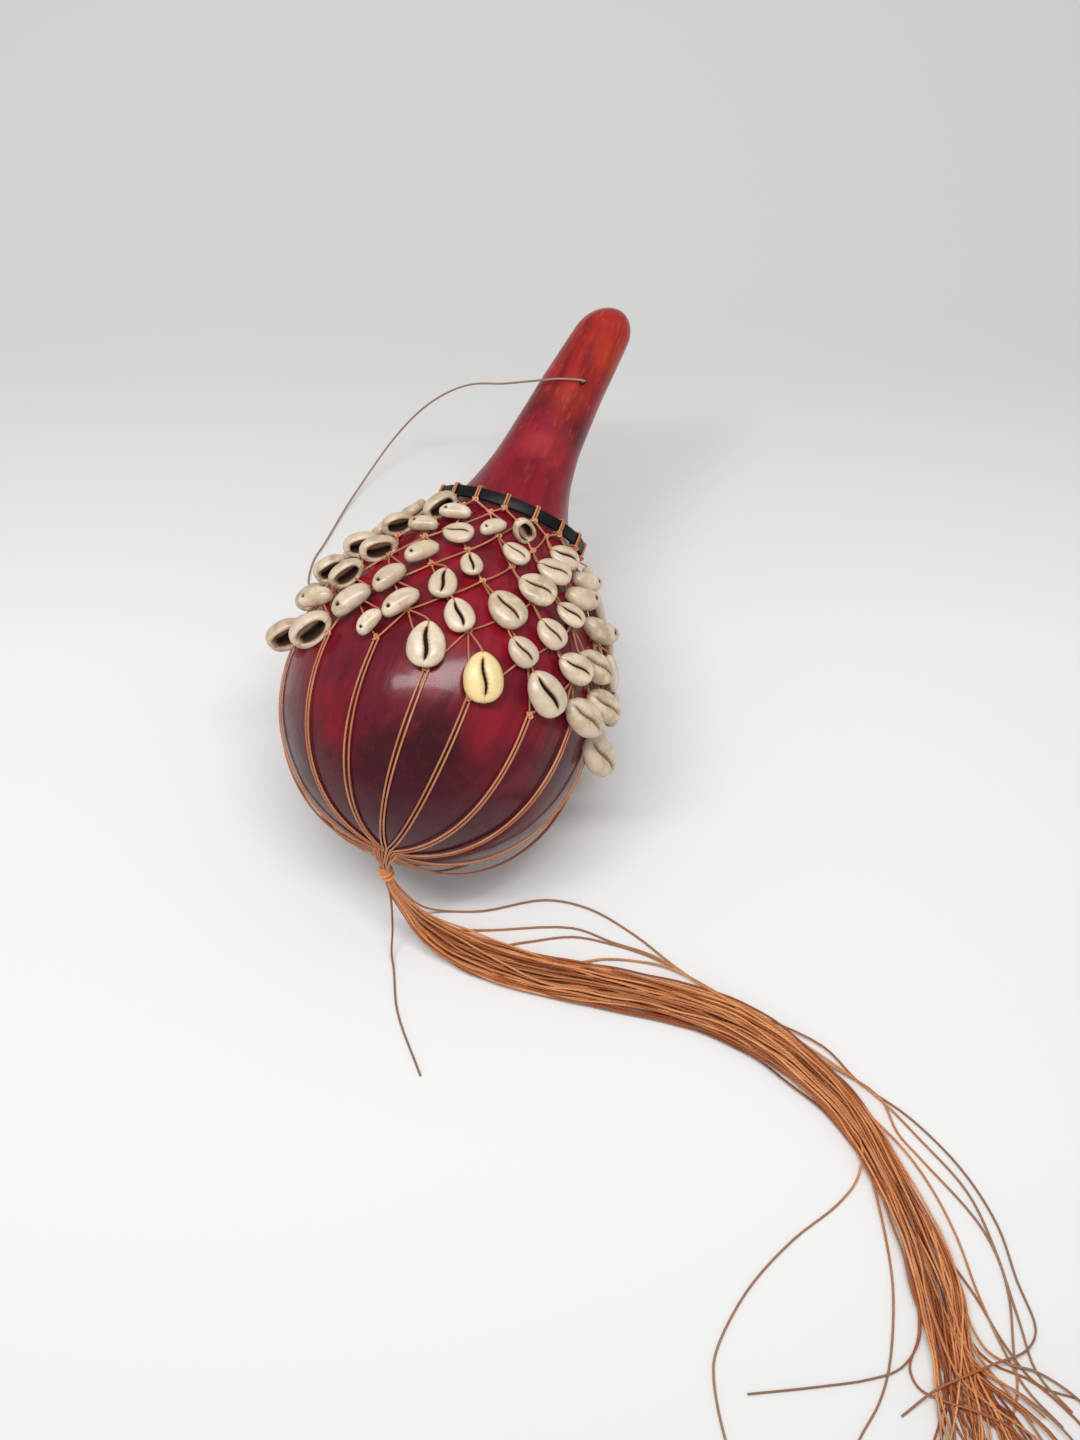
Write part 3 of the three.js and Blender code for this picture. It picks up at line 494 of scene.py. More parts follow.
def trunkWidths(distance):
    start = tassel["flareStart"] * mm
    opened = blendStep(start, start + tassel["flareLength"] * mm, distance)
    halfWidth = tassel["neckRadius"] + (tassel["halfWidth"] - tassel["neckRadius"]) * opened
    halfDepth = tassel["neckRadius"] + (tassel["halfDepth"] - tassel["neckRadius"]) * opened
    halfWidth -= tassel["narrowing"] * blendStep(*tassel["narrows"], distance / mm)
    past = (distance - trunkLength) / mm
    fanned = max(0, past) ** 2 / (max(0, past) + tassel["fanStart"])
    fan = tassel["fan"] * tassel["fanReach"] * (1 - math.exp(-fanned / tassel["fanReach"]))
    halfWidth += tassel["opening"] * max(0, past + tassel["opens"]) + fan
    return halfWidth * mm, halfDepth * mm


def swayOf(chance, most, slowest, fastest):
    return [(chance.uniform(0.4, 1) * most, chance.uniform(slowest, fastest), chance.uniform(0, fullTurn))
            for i in range(2)]


def swayAt(waves, distance, wave=math.sin):
    return sum(most * wave(pace * distance * fullTurn + phase) for most, pace, phase in waves)


# How far a stretch by the trunk's end has been passed, from 0 to 1
def pastTrunk(stretch, distance):
    return blendStep(*stretch, (distance - trunkLength) / mm)


# A strand's way inside the trunk: its own lane, drifting with its lock, and a curl where the tail fans out
def laneRoute(lane, drift, start, end, chance):
    sway = swayOf(chance, tassel["wave"], *tassel["wavePace"])
    sway += swayOf(chance, chance.choice(tassel["drift"]), *tassel["driftPace"])
    rough = swayOf(chance, tassel["kink"] * mm, *tassel["kinkPace"])
    curl = chance.uniform(-tassel["curl"], tassel["curl"])
    curl -= lane[0] * chance.uniform(*tassel["crossing"])  # ends cross over one another
    route = []
    for i, (distance, at) in enumerate(wholeSteps):
        if not start <= distance <= end:
            continue
        ahead = wholeSteps[min(i + 1, len(wholeSteps) - 1)][1] - wholeSteps[max(i - 1, 0)][1]
        across = ahead.cross(upright).normalized()
        over = across.cross(ahead).normalized()
        halfWidth, halfDepth = trunkWidths(distance)
        calm = blendStep(*tassel["calmed"], distance / mm)
        held = calm * (1 - tassel["slackened"] * pastTrunk(tassel["slackens"], distance))
        side = lane[0] + held * swayAt(drift + sway, distance)
        rise = lane[1] + held * swayAt(drift + sway, distance, math.cos)
        side /= math.sqrt(1 + tassel["squeeze"] * side ** 2)  # keeps a wandering strand near the bundle
        rise = min(tassel["heaped"], rise) * math.sqrt(max(tassel["edgeDepth"], 1 - side ** 2))
        side += curl * pastTrunk(tassel["curls"], distance)
        kinks = calm * swayAt(rough, distance)
        point = at + across * (side * halfWidth + kinks) + over * rise * halfDepth
        point.z = max(point.z, strandLow)
        route.append(point)
    return route


# A strand that leaves the bundle part of the way along, lies by itself, and may join the bundle again
def leavingRoute(leaves, side, joins, points, chance):
    lane = (tassel["leavingLane"] * side, chance.uniform(*tassel["leavingRise"]))
    bundled = laneRoute(lane, [], 0, (leaves - tassel["leavingGap"]) * mm, chance)
    loose = [onTable(point) for point in points]
    rest = []
    if joins:
        end = trunkLength + chance.uniform(*tassel["joinedPast"]) * mm
        rest = laneRoute(lane, [], joins * mm, end, chance)
    route = throughPoints(bundled[:-1:2] + bundled[-1:] + loose + rest[::2], 5)
    for point in route:
        point.z = max(point.z, strandLow)
    return route


# How dull each point of a strand is, by how far it lies from the trunk
def aloneAlong(route):
    reaches = [min((point - at).length for distance, at in wholeSteps) / mm for point in route]
    return [tassel["dulled"] * blendStep(*tassel["apart"], reach) for reach in reaches]


# The middle of one of so many lanes side by side, from -1 to 1
def laneMiddle(i, count):
    return 2 * (i + 0.5) / count - 1


chance = random.Random(tassel["seed"])
innerRoutes = []
for i in range(tassel["inner"]):
    lane = (laneMiddle(i, tassel["inner"]) * tassel["innerSpan"], chance.uniform(*tassel["innerRise"]))
    end = trunkLength + chance.uniform(*tassel["innerPast"]) * mm
    innerRoutes.append(laneRoute(lane, [], 0, end, chance))
locks = []
for i in range(tassel["locks"]):
    middle = laneMiddle(i, tassel["locks"]) * tassel["lockSpan"]
    middle += chance.uniform(-tassel["lockShift"], tassel["lockShift"])
    locks.append((middle, chance.uniform(*tassel["lockRise"]), swayOf(chance, *tassel["lockSway"])))
strandRoutes = []
for i in range(tassel["bundled"] - len(tassel["spills"])):
    middle, rise, drift = locks[i % len(locks)]
    middle += chance.uniform(-tassel["laneShift"], tassel["laneShift"])
    rise += chance.uniform(-tassel["laneRise"], tassel["laneRise"])
    end = trunkLength + chance.uniform(*tassel["lanePast"]) * mm
    strandRoutes.append(laneRoute((middle, rise), drift, 0, end, chance))
for leaving in tassel["spills"] + tassel["strays"]:
    strandRoutes.append(leavingRoute(*leaving, chance))

trunkNodes = ["tassel_trunk"] + [f"tassel_lock_{k:02d}" for k in range(1, 5)]
# the inner strands, lying under the others, take the darkest tints: painted shade inside the bundle
innerStrands = makeCords("tasselInner", innerRoutes, tassel, waxedCord, tassel["shadedInnerTints"])
finishPiece(innerStrands, "tassel", "waxed_cord", *trunkNodes)
for i, route in enumerate(strandRoutes):
    stray = i - tassel["bundled"]
    tint = chance.choice(tassel["tints"])
    piece = makeCords(f"tasselCord{i + 1:02d}", [route], tassel, waxedCord, [tint], aloneAlong(route))
    standsFor = [f"tassel_strand_{stray + 1:02d}"] if stray >= 0 else trunkNodes
    finishPiece(piece, "tassel", "waxed_cord", *standsFor)
print("tassel strands laid:", len(strandRoutes))

# Gourd: a round belly, a shoulder that draws in to the neck, and a tip that leans to one side
gourd = {
    "bulbRadius": 75, "shoulderReach": 85, "shoulderPower": 2.8, "neckRootRadius": 22, "neckLength": 206,
    "tipRadius": 13.5, "tipLength": 15, "neckLean": 11.5, "leanStart": 108, "leanPower": 1.8,
    "sides": 112, "footAngle": 88, "bellyStep": 3, "neckRings": 70, "tipStep": 6,
    "unevenness": 0.45, "swells": ((22, 1), (55, 0.4)),
    # shade is a deep maroon: the lacquer's own darker clouds and streaks, and painted shade in some
    # blotches
    "foot": "#4a1522", "body": "#7a1327", "patch": "#981729", "neck": "#8b1527", "tip": "#aa2620",
    "spark": "#c84d20", "paintedSheen": "#b53c40", "shade": "#360914",
    "surface": {"Specular IOR Level": 0.15, "Coat Weight": 0.28, "Coat Roughness": 0.12},
    # Blotches: height, turn, size, strength, colour; and their ragged, fading edge. The shade blotch at
    # height 20 between the shells and those on the neck's sides are painted shade; the pink one down the
    # neck's middle is painted sheen
    "ragged": 0.7, "fadesFrom": 0.4, "fadesTo": 1.5,
    "blotches": [(-24, 16, 19, 0.95, "shade"), (-36, -4, 17, 0.65, "shade"), (-44, 22, 15, 0.45, "shade"),
                 (-27, -22, 16, 0.7, "patch"), (-5, 33, 15, 0.75, "patch"), (-12, 72, 27, 0.95, "foot"),
                 (-54, 30, 26, 0.6, "foot"), (20, -8, 14, 0.5, "shade"), (160, -30, 13, 0.4, "shade"),
                 (150, 70, 12, 0.6, "shade"), (138, 18, 12, 0.6, "paintedSheen"), (166, 22, 11, 0.35, "spark"),
                 (192, 48, 11, 0.3, "spark")],
}


def radiusAt(height):
    g = gourd
    if height <= 0:
        return math.sqrt(max(0, g["bulbRadius"] ** 2 - height ** 2))
    neck = g["tipRadius"] + (g["neckRootRadius"] - g["tipRadius"]) * (1 - (height / g["neckLength"]) ** 2)
    fall = math.exp(-(height / g["shoulderReach"]) ** g["shoulderPower"])
    swell = (g["bulbRadius"] - g["neckRootRadius"]) * fall
    past = max(0, height - g["neckLength"]) / g["tipLength"]
    return (neck + swell) * math.sqrt(max(0, 1 - past ** 2))


def leanAt(height):
    g = gourd
    share = max(0, height - g["leanStart"]) / (g["neckLength"] + g["tipLength"] - g["leanStart"])
    return g["neckLean"] * share ** g["leanPower"]


def outward(height, turn):
    slope = radiusAt(height + 0.5) - radiusAt(height - 0.5)
    if height <= 0:
        slope = -height / max(radiusAt(height), 1e-3)
    angle = math.radians(turn)
    flat = gourdRight * math.sin(angle) + gourdSky * math.cos(angle)
    return (flat - gourdAxis * slope).normalized()


# A point over the gourd's skin; turns are degrees from the side that faces up, to the right
def onGourd(height, turn, lift=0.0):
    angle, radius = math.radians(turn), radiusAt(height)
    flat = gourdRight * (math.sin(angle) * radius + leanAt(height)) + gourdSky * math.cos(angle) * radius
    return gourdCentre + (flat + gourdAxis * height + outward(height, turn) * lift) * mm


# Hanging string through the neck, over it and down to the table behind the shells
string = {
    "cord": 1.1, "sides": 8, "tints": [0.7], "holeHeight": 174.5, "holeTurn": 26, "holeRadius": 1.4,
    "drillLength": 80,
    "leaving": (0.03, 0.5, 0.57), "entering": (-0.56, -0.5, -0.03),  # shares of the way across the neck
    "overNeck": [(173, 10), (171, -12), (169.5, -34)], "lift": 1.8,
    "route": [(46, 153.5, 137), (31, 168.5, 117), (12, 189.5, 91), (-5.5, 203, 65), (-21, 208.5, 42),
              (-36.5, 204.5, 22), (-51.5, 190, 8), (-62.5, 173, 2.5), (-73, 150), (-79, 137), (-80, 120),
              (-69, 107), (-45, 103), (-18, 112), (4, 135), (20.5, 154, 2.4), (32, 163, 9),
              (43.5, 167.5, 30), (53.5, 165.5, 60), (61, 163, 88)],
}
holeHeight, holeTurn = string["holeHeight"], string["holeTurn"]
holeThrough = onGourd(holeHeight, holeTurn) - onGourd(holeHeight, holeTurn + 180)
holeMiddle = gourdCentre + (gourdRight * leanAt(holeHeight) + gourdAxis * holeHeight) * mm
stringPoints = [holeMiddle + holeThrough * share for share in string["leaving"]]
stringPoints += [onGourd(height, turn, string["lift"]) for height, turn in string["overNeck"]]
stringPoints += [onTable(point) for point in string["route"]]
stringPoints += [holeMiddle + holeThrough * share for share in string["entering"]]
stringRoute = throughPoints(stringPoints, 6)
hangString = makeCords("hangingString", [stringRoute], string, thinString, string["tints"])
finishPiece(hangString, "gourd", "thin_string", "hang_string")
print("hanging string laid")


# Lacquer: dark at the foot, maroon with redder patches on the belly, crimson to orange-red up the neck
def makeLacquer():
    material, tree, surface = newMaterial("lacquer", gourd["surface"])
    place = addNode(tree, "ShaderNodeTexCoord")
    fromCentre = addNode(tree, "ShaderNodeVectorMath", {1: gourdCentre}, operation="SUBTRACT")
    rise = addNode(tree, "ShaderNodeVectorMath", {1: gourdAxis}, operation="DOT_PRODUCT")
    wireAll(tree, (place, "Object", fromCentre, 0), (fromCentre, "Vector", rise, 0))
    height = rise.outputs["Value"]
    broad = addPatches(tree, scale=22.0, detail=3.0, low=0.42, high=0.64)
    cloudy = addPatches(tree, scale=34.0, detail=4.0, grain=gourdAxis, draw=-0.5, low=0.48, high=0.72)
    fine = addPatches(tree, scale=70.0, detail=5.0, low=0.42, high=0.72)
    streaks = addPatches(tree, scale=150.0, detail=4.0, grain=gourdAxis, draw=-0.82, low=0.42, high=0.72)
    sparks = addPatches(tree, scale=230.0, detail=3.0, grain=gourdAxis, draw=-0.85, low=0.58, high=0.72)
    flecks = addPatches(tree, scale=480.0, detail=4.0, grain=gourdAxis, draw=-0.75, low=0.52, high=0.72)
    belly = blendColour(tree, broad, gourd["body"], gourd["patch"])
    belly = blendColour(tree, spread(tree, height, 0, 0.9, 0.02, -0.04), belly, gourd["foot"])
    tipRed = blendColour(tree, spread(tree, sparks, 0, 0.7), gourd["tip"], gourd["spark"])
    tipRed = blendColour(tree, spread(tree, streaks, 0, 0.55), tipRed, gourd["neck"])
    neck = blendColour(tree, spread(tree, height, 0, 1, 0.155, 0.182), gourd["neck"], tipRed)
    whole = blendColour(tree, spread(tree, height, 0, 1, 0.06, 0.12), belly, neck)
    # blotches, among them painted shade on the neck's sides and between the shells, and painted sheen down
    # the neck
    for spotHeight, spotTurn, reach, strength, colour in gourd["blotches"]:
        spot = {1: onGourd(spotHeight, spotTurn)}
        away = addNode(tree, "ShaderNodeVectorMath", spot, operation="DISTANCE")
        edge = {1: reach * gourd["ragged"] * mm}
        ragged = addNode(tree, "ShaderNodeMath", edge, operation="MULTIPLY_ADD")
        tree.links.new(fine, ragged.inputs[0])
        wireAll(tree, (place, "Object", away, 0), (away, "Value", ragged, 2))
        far, close = reach * gourd["fadesTo"] * mm, reach * gourd["fadesFrom"] * mm
        near = spread(tree, ragged.outputs["Value"], 0, strength, far, close)
        whole = blendColour(tree, near, whole, gourd[colour])
    # darker clouds and streaks in the lacquer itself
    whole = blendColour(tree, spread(tree, cloudy, 0, 0.5), whole, gourd["shade"])
    whole = blendColour(tree, spread(tree, streaks, 0, 0.36), whole, gourd["shade"])
    onNeck = combine(tree, "MULTIPLY", flecks, spread(tree, height, 0.05, 0.45, 0.1, 0.17))
    whole = blendColour(tree, onNeck, whole, gourd["spark"])
    tree.links.new(whole, surface.inputs["Base Color"])
    tree.links.new(spread(tree, fine, 0.26, 0.42), surface.inputs["Roughness"])
    addBump(tree, surface, streaks, 0.2, 0.0005)
    return material


def gourdPoint(height, turn):
    skin = onGourd(height, turn)
    drift = sum(share * noise.noise((skin - gourdCentre) * scale) for scale, share in gourd["swells"])
    return skin + outward(height, turn) * drift * gourd["unevenness"] * mm


def makeGourd():
    heights = [gourd["bulbRadius"] * math.sin(math.radians(angle))
               for angle in range(-gourd["footAngle"], 0, gourd["bellyStep"])]
    heights += [gourd["neckLength"] * i / gourd["neckRings"] for i in range(gourd["neckRings"])]
    heights += [gourd["neckLength"] + gourd["tipLength"] * math.sin(math.radians(angle))
                for angle in range(0, 90, gourd["tipStep"])]
    sides = gourd["sides"]
    made = bmesh.new()
    turns = [360 * i / sides for i in range(sides)]
    rings = [[made.verts.new(gourdPoint(height, turn)) for turn in turns] for height in heights]
    joinRings(made, rings)
    for ring in (rings[0], rings[-1]):
        closeRing(made, ring, sum((vert.co for vert in ring), Vector()) / sides)
    piece = addPiece("gourdSkin", meshFrom(made, "gourdSkin"))
    drill = bmesh.new()
    bmesh.ops.create_cone(drill, cap_ends=True, segments=20, radius1=string["holeRadius"] * mm,
                          radius2=string["holeRadius"] * mm, depth=string["drillLength"] * mm)
    drillPiece = addPiece("stringHole", meshFrom(drill, "stringHole", smooth=False))
    turn = holeThrough.to_track_quat("Z", "Y").to_matrix().to_4x4()
    drillPiece.data.transform(Matrix.Translation(holeMiddle) @ turn)
    cut = piece.modifiers.new("hole", "BOOLEAN")
    cut.operation = "DIFFERENCE"
    cut.object = drillPiece
    drilled = evaluatedMesh(piece)
    piece.modifiers.clear()
    piece.data = drilled
    bpy.data.objects.remove(drillPiece)
    drilled.materials.clear()
    drilled.materials.append(makeLacquer())
    return piece


finishPiece(makeGourd(), "gourd", "lacquered_gourd", "gourd")
print("gourd turned")

# Hoop: a flat black band with softened edges
hoop = {"seat": 96, "height": 5.6, "wall": 2.2, "edge": 0.45, "sides": 128, "cord": 1.1, "clearance": 0.35,
        "colour": "#0b0a0c", "scuff": "#1d1b1d"}
hitchSpace = hoop["cord"] + hoop["clearance"]
hoopInner = radiusAt(hoop["seat"] - hitchSpace) + hitchSpace + hoop["clearance"]
hoopOuter = hoopInner + hoop["wall"]
hoopTop = hoop["seat"] + hoop["height"]


def makeHoopFinish():
    material, tree, surface = newMaterial("blackBand", {"Specular IOR Level": 0.25})
    scuffs = addPatches(tree, scale=160.0, detail=5.0, low=0.5, high=0.8)
    tree.links.new(blendColour(tree, scuffs, hoop["colour"], hoop["scuff"]), surface.inputs["Base Color"])
    tree.links.new(spread(tree, scuffs, 0.45, 0.65), surface.inputs["Roughness"])
    addBump(tree, surface, scuffs, 0.15, 0.0003)
    return material


def aroundAxis(radius, height, turn):
    angle = math.radians(turn)
    flat = (gourdRight * math.sin(angle) + gourdSky * math.cos(angle)) * radius
    return gourdCentre + (flat + gourdAxis * height) * mm


def makeHoop():
    edge, low, high = hoop["edge"], hoop["seat"], hoopTop
    soft = 0.3 * edge
    profile = [(hoopInner + edge, low), (hoopOuter - edge, low), (hoopOuter - soft, low + soft),
               (hoopOuter, low + edge), (hoopOuter, high - edge), (hoopOuter - soft, high - soft),
               (hoopOuter - edge, high), (hoopInner + edge, high), (hoopInner + soft, high - soft),
               (hoopInner, high - edge), (hoopInner, low + edge), (hoopInner + soft, low + soft)]
    made = bmesh.new()
    rings = [[made.verts.new(aroundAxis(*corner, 360 * i / hoop["sides"])) for corner in profile]
             for i in range(hoop["sides"])]
    joinRings(made, rings + rings[:1])
    mesh = meshFrom(made, "hoopBand")
    mesh.materials.append(makeHoopFinish())
    return addPiece("hoopBand", mesh)


finishPiece(makeHoop(), "net", "black_hoop", "neck_hoop")
print("hoop set")

# Net: knots on a drifting lattice, cords between them, and pairs of legs to the foot
net = {
    "columns": 16, "columnTurn": 22.5, "knotHeights": [90.5, 79, 65.5, 52.5, 39.5, 27.5, 4],
    "rowDrift": 12.3, "firstTurn": -3.2, "lift": 0.95, "cord": 1.0, "sides": 6, "sag": 1.2, "bulge": 0.35,
    "seed": 11, "tints": (0.65, 0.45), "legTints": (0.65, 0.45, 0.55), "knotHighlightTint": (0.8, 0, 0),
    "knotLift": 1.5, "knotSize": 1.55, "knotTurns": 20, "knotSides": 5, "knotCord": 0.34,
    "knotSizes": (0.92, 1.08), "sags": (0.3, 1.3), "downSteps": 6, "crossSteps": 8,
    # Hitches on the hoop: two loops side by side, held off the band and rounded at its corners
    "hitchTurn": -17, "hitchApart": 0.62, "hitchLift": 0.6, "hitchBend": 0.5, "hitchSlope": 93,
    "hitchSize": 0.95, "hitchBulge": 0.05, "hitchLeaves": (0.8, 0.9), "hitchDip": 0.2,
    # Legs come together a little above the foot and run on over it to the tassel's head
    "legSpacing": 1.9, "legSlack": 4.5, "slackTurn": 118, "legSteps": 22, "legWander": 0.6,
    "legWaves": 5, "legLift": 0.3, "slackFocus": 6, "drawnIn": 3, "crowding": 8, "heap": (-0.4, 0.7),
    "footRadius": 6.0, "gather": (5.4, 17, -73), "gatherReach": 77.4,
    "gathered": ((0.1, 3.2), (0.45, 2.4), (0.75, 2.0), (1.0, 1.9)),  # share of the way to the head, radius
    "bends": (-8, -66),  # heights between which a leg goes over from the net to the gourd
    # Knots out of line, by row and column: how far up the gourd, and how far round it
    "moved": {(1, 15): (-1, -2.7), (2, 14): (1, -3), (4, 12): (-2.4, 2.5), (5, 11): (-4, 2),
              (6, 0): (5, -6), (6, 1): (3, -7), (6, 11): (4, 5), (6, 12): (7, 4), (6, 13): (1, 2),
              (6, 14): (-4, -4), (6, 15): (0, -4)},
}
netChance = random.Random(net["seed"])
lastRow = len(net["knotHeights"]) - 1


def knotSpot(row, column):
    up, aside = net["moved"].get((row, column % net["columns"]), (0, 0))
    turn = net["firstTurn"] + net["columnTurn"] * column + net["rowDrift"] * row
    return net["knotHeights"][row] + up, turn + aside


def knotPoint(row, column):
    return onGourd(*knotSpot(row, column), net["knotLift"])


# A cord over the skin between two knots, slack by a little
def skinRoute(start, end, steps, sag):
    route = []
    for i in range(steps + 1):
        t = i / steps
        droop = math.sin(math.pi * t)
        height = start[0] + (end[0] - start[0]) * t - sag * droop
        turn = start[1] + (end[1] - start[1]) * t
        route.append(onGourd(height, turn, net["lift"] + net["bulge"] * droop))
    return route


# Cowries: slit side out, on edge like a bean, or turned so that the cut back shows
cowries = {
    "heights": [82, 69.5, 55.5, 42, 29, 14.5], "lengths": [15.5, 16.5, 18, 19, 18.5, 23], "turn": 5.8,
    "lift": 3.4, "thickness": 0.33, "tiedShare": 0.36, "tableShare": 0.29, "seed": 5, "yellowed": (5, 14),
    # Shares of the gourd's skin, the viewer, the right and what lies below, in the way a shell faces
    "faces": (0.75, 0.25), "cutFaces": (0.2, 0.5, 0.35, 0.6), "standsOff": 0.5, "steepest": 0.4,
    # Where a tie ends, back from the middle and out: shares of the length, but tiedOut in millimetres
    "tiedBack": 0.5, "tiedOut": 0.8, "slitBack": 0.33, "slitOut": 0.1,
    "widths": (0.92, 1.06), "depths": (0.9, 1.1), "pale": (0.35, 1), "soiled": (0.1, 0.9), "yellowing": 0.8,
    # For each row, by column: kind, heading of the free end seen from above in degrees clockwise from
    # the right, size, and how far up the gourd and round it the shell hangs out of line
    "posed": [
        {0: ("bean", 155, 0.9, -3.5, 0), 1: ("cut", 55, 0.95, 2, -6), 2: ("slit", 35, 1.0, -1, 1),
         3: ("bean", 25, 1.15, -3.5, 4), 14: ("cut", 145, 1.15, 2.5, 3),
         15: ("bean", 176, 0.98, -1, -3)},
        {0: ("fine", 45, 0.86, 0, 3), 1: ("fine", 32, 1.05, 0.5, 2), 2: ("bean", 22, 1.15, -3, 0),
         13: ("cut", 165, 1.0, 0, 0), 14: ("bean", 172, 0.86, 0, -2), 15: ("fine", 18, 0.92, 0, -4)},
        {0: ("fine", 35, 1.05, 1, 3), 1: ("slit", 45, 0.85, -2.4, -2), 2: ("bean", 42, 1.15, 1.6, 2),
         12: ("cut", 165, 1.0, 0, 0), 13: ("cut", 165, 1.02, -4, 0), 14: ("bean", 150, 0.95, -2, -1),
         15: ("slit", 80, 0.74, 0, -3)},
        {0: ("fine", 55, 0.85, -2.3, -1), 1: ("ribbed", 48, 1.15, -5, 2), 11: ("cut", 150, 0.95, 0, 0),
         12: ("cut", 145, 0.95, -6, 6), 13: ("bean", 138, 0.92, -5, 5),
         14: ("slit", 100, 0.84, 0, 1.4), 15: ("fine", 52, 1.06, -1, 3)},
        {0: ("fine", 38, 1.0, 2, 0), 1: ("ribbed", 52, 1.2, -5, 0), 10: ("cut", 140, 0.95, 0, 0),
         11: ("bean", 158, 0.95, -7, 8), 12: ("bean", 138, 1.1, -6, 6),
         13: ("bean", 145, 1.02, -1.6, 1.7), 14: ("slit", 70, 0.9, 1.7, -1.3),
         15: ("fine", 52, 0.86, -2.4, 0)},
        {0: ("ribbed", 52, 1.04, -1, -2.4), 1: ("ribbed", 72, 1.12, -10, -1.5),
         2: ("slit", 88, 0.95, 0, 0), 10: ("cut", 150, 0.9, -9, 4), 11: ("cut", 143, 0.95, -7, 3),
         12: ("bean", 130, 0.62, 1, 5), 13: ("slit", 95, 0.92, -0.5, 3),
         14: ("fine", 88, 1.0, -5, 0.6), 15: ("slit", 62, 1.0, 0, 0)},
    ],
}
shellChance = random.Random(cowries["seed"])


# The way a shell points in its own plane, when it is seen to head so many degrees clockwise from the right
def headingIn(face, degrees):
    angle = math.radians(degrees)
    flat = viewRight * math.cos(angle) - viewUp * math.sin(angle)
    along = flat - toViewer * (flat.dot(face) / max(face.dot(toViewer), cowries["steepest"]))
    return (along - face * along.dot(face)).normalized()


def cowriePlace(row, column):
    kind, heading, size, up, aside = cowries["posed"][row].get(column, ("slit", None, 1.0, 0, 0))
    length = cowries["lengths"][row]
    turn = cowries["turn"] + net["columnTurn"] * column + net["rowDrift"] * row + aside
    height = cowries["heights"][row] + up
    normal = outward(height, turn)
    middle = onGourd(height, turn, cowries["lift"] + cowries["thickness"] * length * cowries["tiedShare"])
    middle.z = max(middle.z, cowries["tableShare"] * length * mm)  # pressed up by the table
    face = normal
    if heading is None:
        kind = shellChance.choice(["slit", "fine", "bean", "cut"])
        along = middle - knotPoint(row, column)
        along = (along - face * along.dot(face)).normalized()
    elif kind == "cut":
        skin, viewer, right, below = cowries["cutFaces"]
        face = (normal * skin + toViewer * viewer + viewRight * right - viewUp * below).normalized()
        along = headingIn(face, heading)
    else:  # free ends stand off where the gourd's side falls away
        skin, viewer = cowries["faces"]
        face = (normal * skin + toViewer * viewer).normalized()
        along = headingIn(face, heading)
        off = cowries["standsOff"] * (1 - max(0, normal.dot(toViewer)))
        along = (along + normal * off).normalized()
        face = (face - along * face.dot(along)).normalized()
    return {"kind": kind, "middle": middle, "along": along, "face": face, "length": length * size * mm}


shells = {(row, column): cowriePlace(row, column)
          for row in range(len(cowries["heights"])) for column in range(net["columns"])}
gatherRight, gatherSky, gatherUp = net["gather"]
gatherDirection = (gourdRight * gatherRight + gourdSky * gatherSky + gourdAxis * gatherUp).normalized()
gatherTurn = (-gourdAxis).rotation_difference(gatherDirection)
gatherPoint = gourdCentre + gatherDirection * net["gatherReach"] * mm
gatherSide = (tasselHead - gatherPoint).cross(gatherDirection).normalized()


def hitchLoop(turn, aside):
    lift, bend = net["hitchLift"], net["hitchBend"]
    inner, outer, low, high = hoopInner - lift, hoopOuter + lift, hoop["seat"] - lift, hoopTop + lift
    corners = ((outer, low + bend), (outer + net["hitchBulge"], (low + high) / 2),
               (outer, high - bend), (outer - bend, high), (inner + bend, high), (inner, high - bend),
               (inner, low + bend), (inner + bend, low), (outer - bend, low))
    loop = [aroundAxis(radius, height, turn + math.degrees(aside / radius)) for radius, height in corners]
    return loop + [loop[0].copy()]


# From a knot to the tied end of its shell, and into the slit where that faces out
def tieRoute(row, column):
    shell = shells[row, column]
    middle, along, face, length = (shell[name] for name in ("middle", "along", "face", "length"))
    end = middle - along * length * cowries["tiedBack"] + face * cowries["tiedOut"] * mm
    tie = [knotPoint(row, column), end]
    if shell["kind"] in ("slit", "fine", "ribbed"):
        tie.append(middle - along * length * cowries["slitBack"] + face * length * cowries["slitOut"])
    return throughPoints(tie, 4)


# A leg down the belly from the hem's knot, drawn to the gather and laid with the others to the tassel
def legRoute(column, side):
    bulb = gourd["bulbRadius"]
    startHeight, startTurn = knotSpot(lastRow, column)
    start, end = math.asin(startHeight / bulb), -math.acos(net["footRadius"] / bulb)
    facing = max(0, math.cos(math.radians(startTurn - net["slackTurn"])))
    slack = net["legSlack"] * facing ** net["slackFocus"]
    wander, phase = netChance.uniform(-net["legWander"], net["legWander"]), netChance.uniform(0, fullTurn)
    leg = []
    for i in range(net["legSteps"] + 1):
        t = i / net["legSteps"]
        height = bulb * math.sin(start + (end - start) * t)
        bow = math.sin(math.pi * t)
        aside = side * net["legSpacing"] + wander * bow * math.sin(net["legWaves"] * t + phase)
        turn = startTurn + math.degrees(aside / max(radiusAt(height), net["crowding"]))
        point = onGourd(height, turn, net["lift"] + (net["legLift"] + slack) * bow)
        drawn = Quaternion().slerp(gatherTurn, t ** net["drawnIn"])
        leg.append(gourdCentre + drawn @ (point - gourdCentre))
        leg[-1].z = max(leg[-1].z, net["cord"] * tableShare * mm)
    aside = (leg[-1] - gatherPoint).normalized().dot(gatherSide)
    for share, radius in net["gathered"]:
        lie = gatherSide * aside + gatherDirection * netChance.uniform(*net["heap"])
        leg.append(gatherPoint.lerp(tasselHead, share) + lie * radius * mm)
    return leg


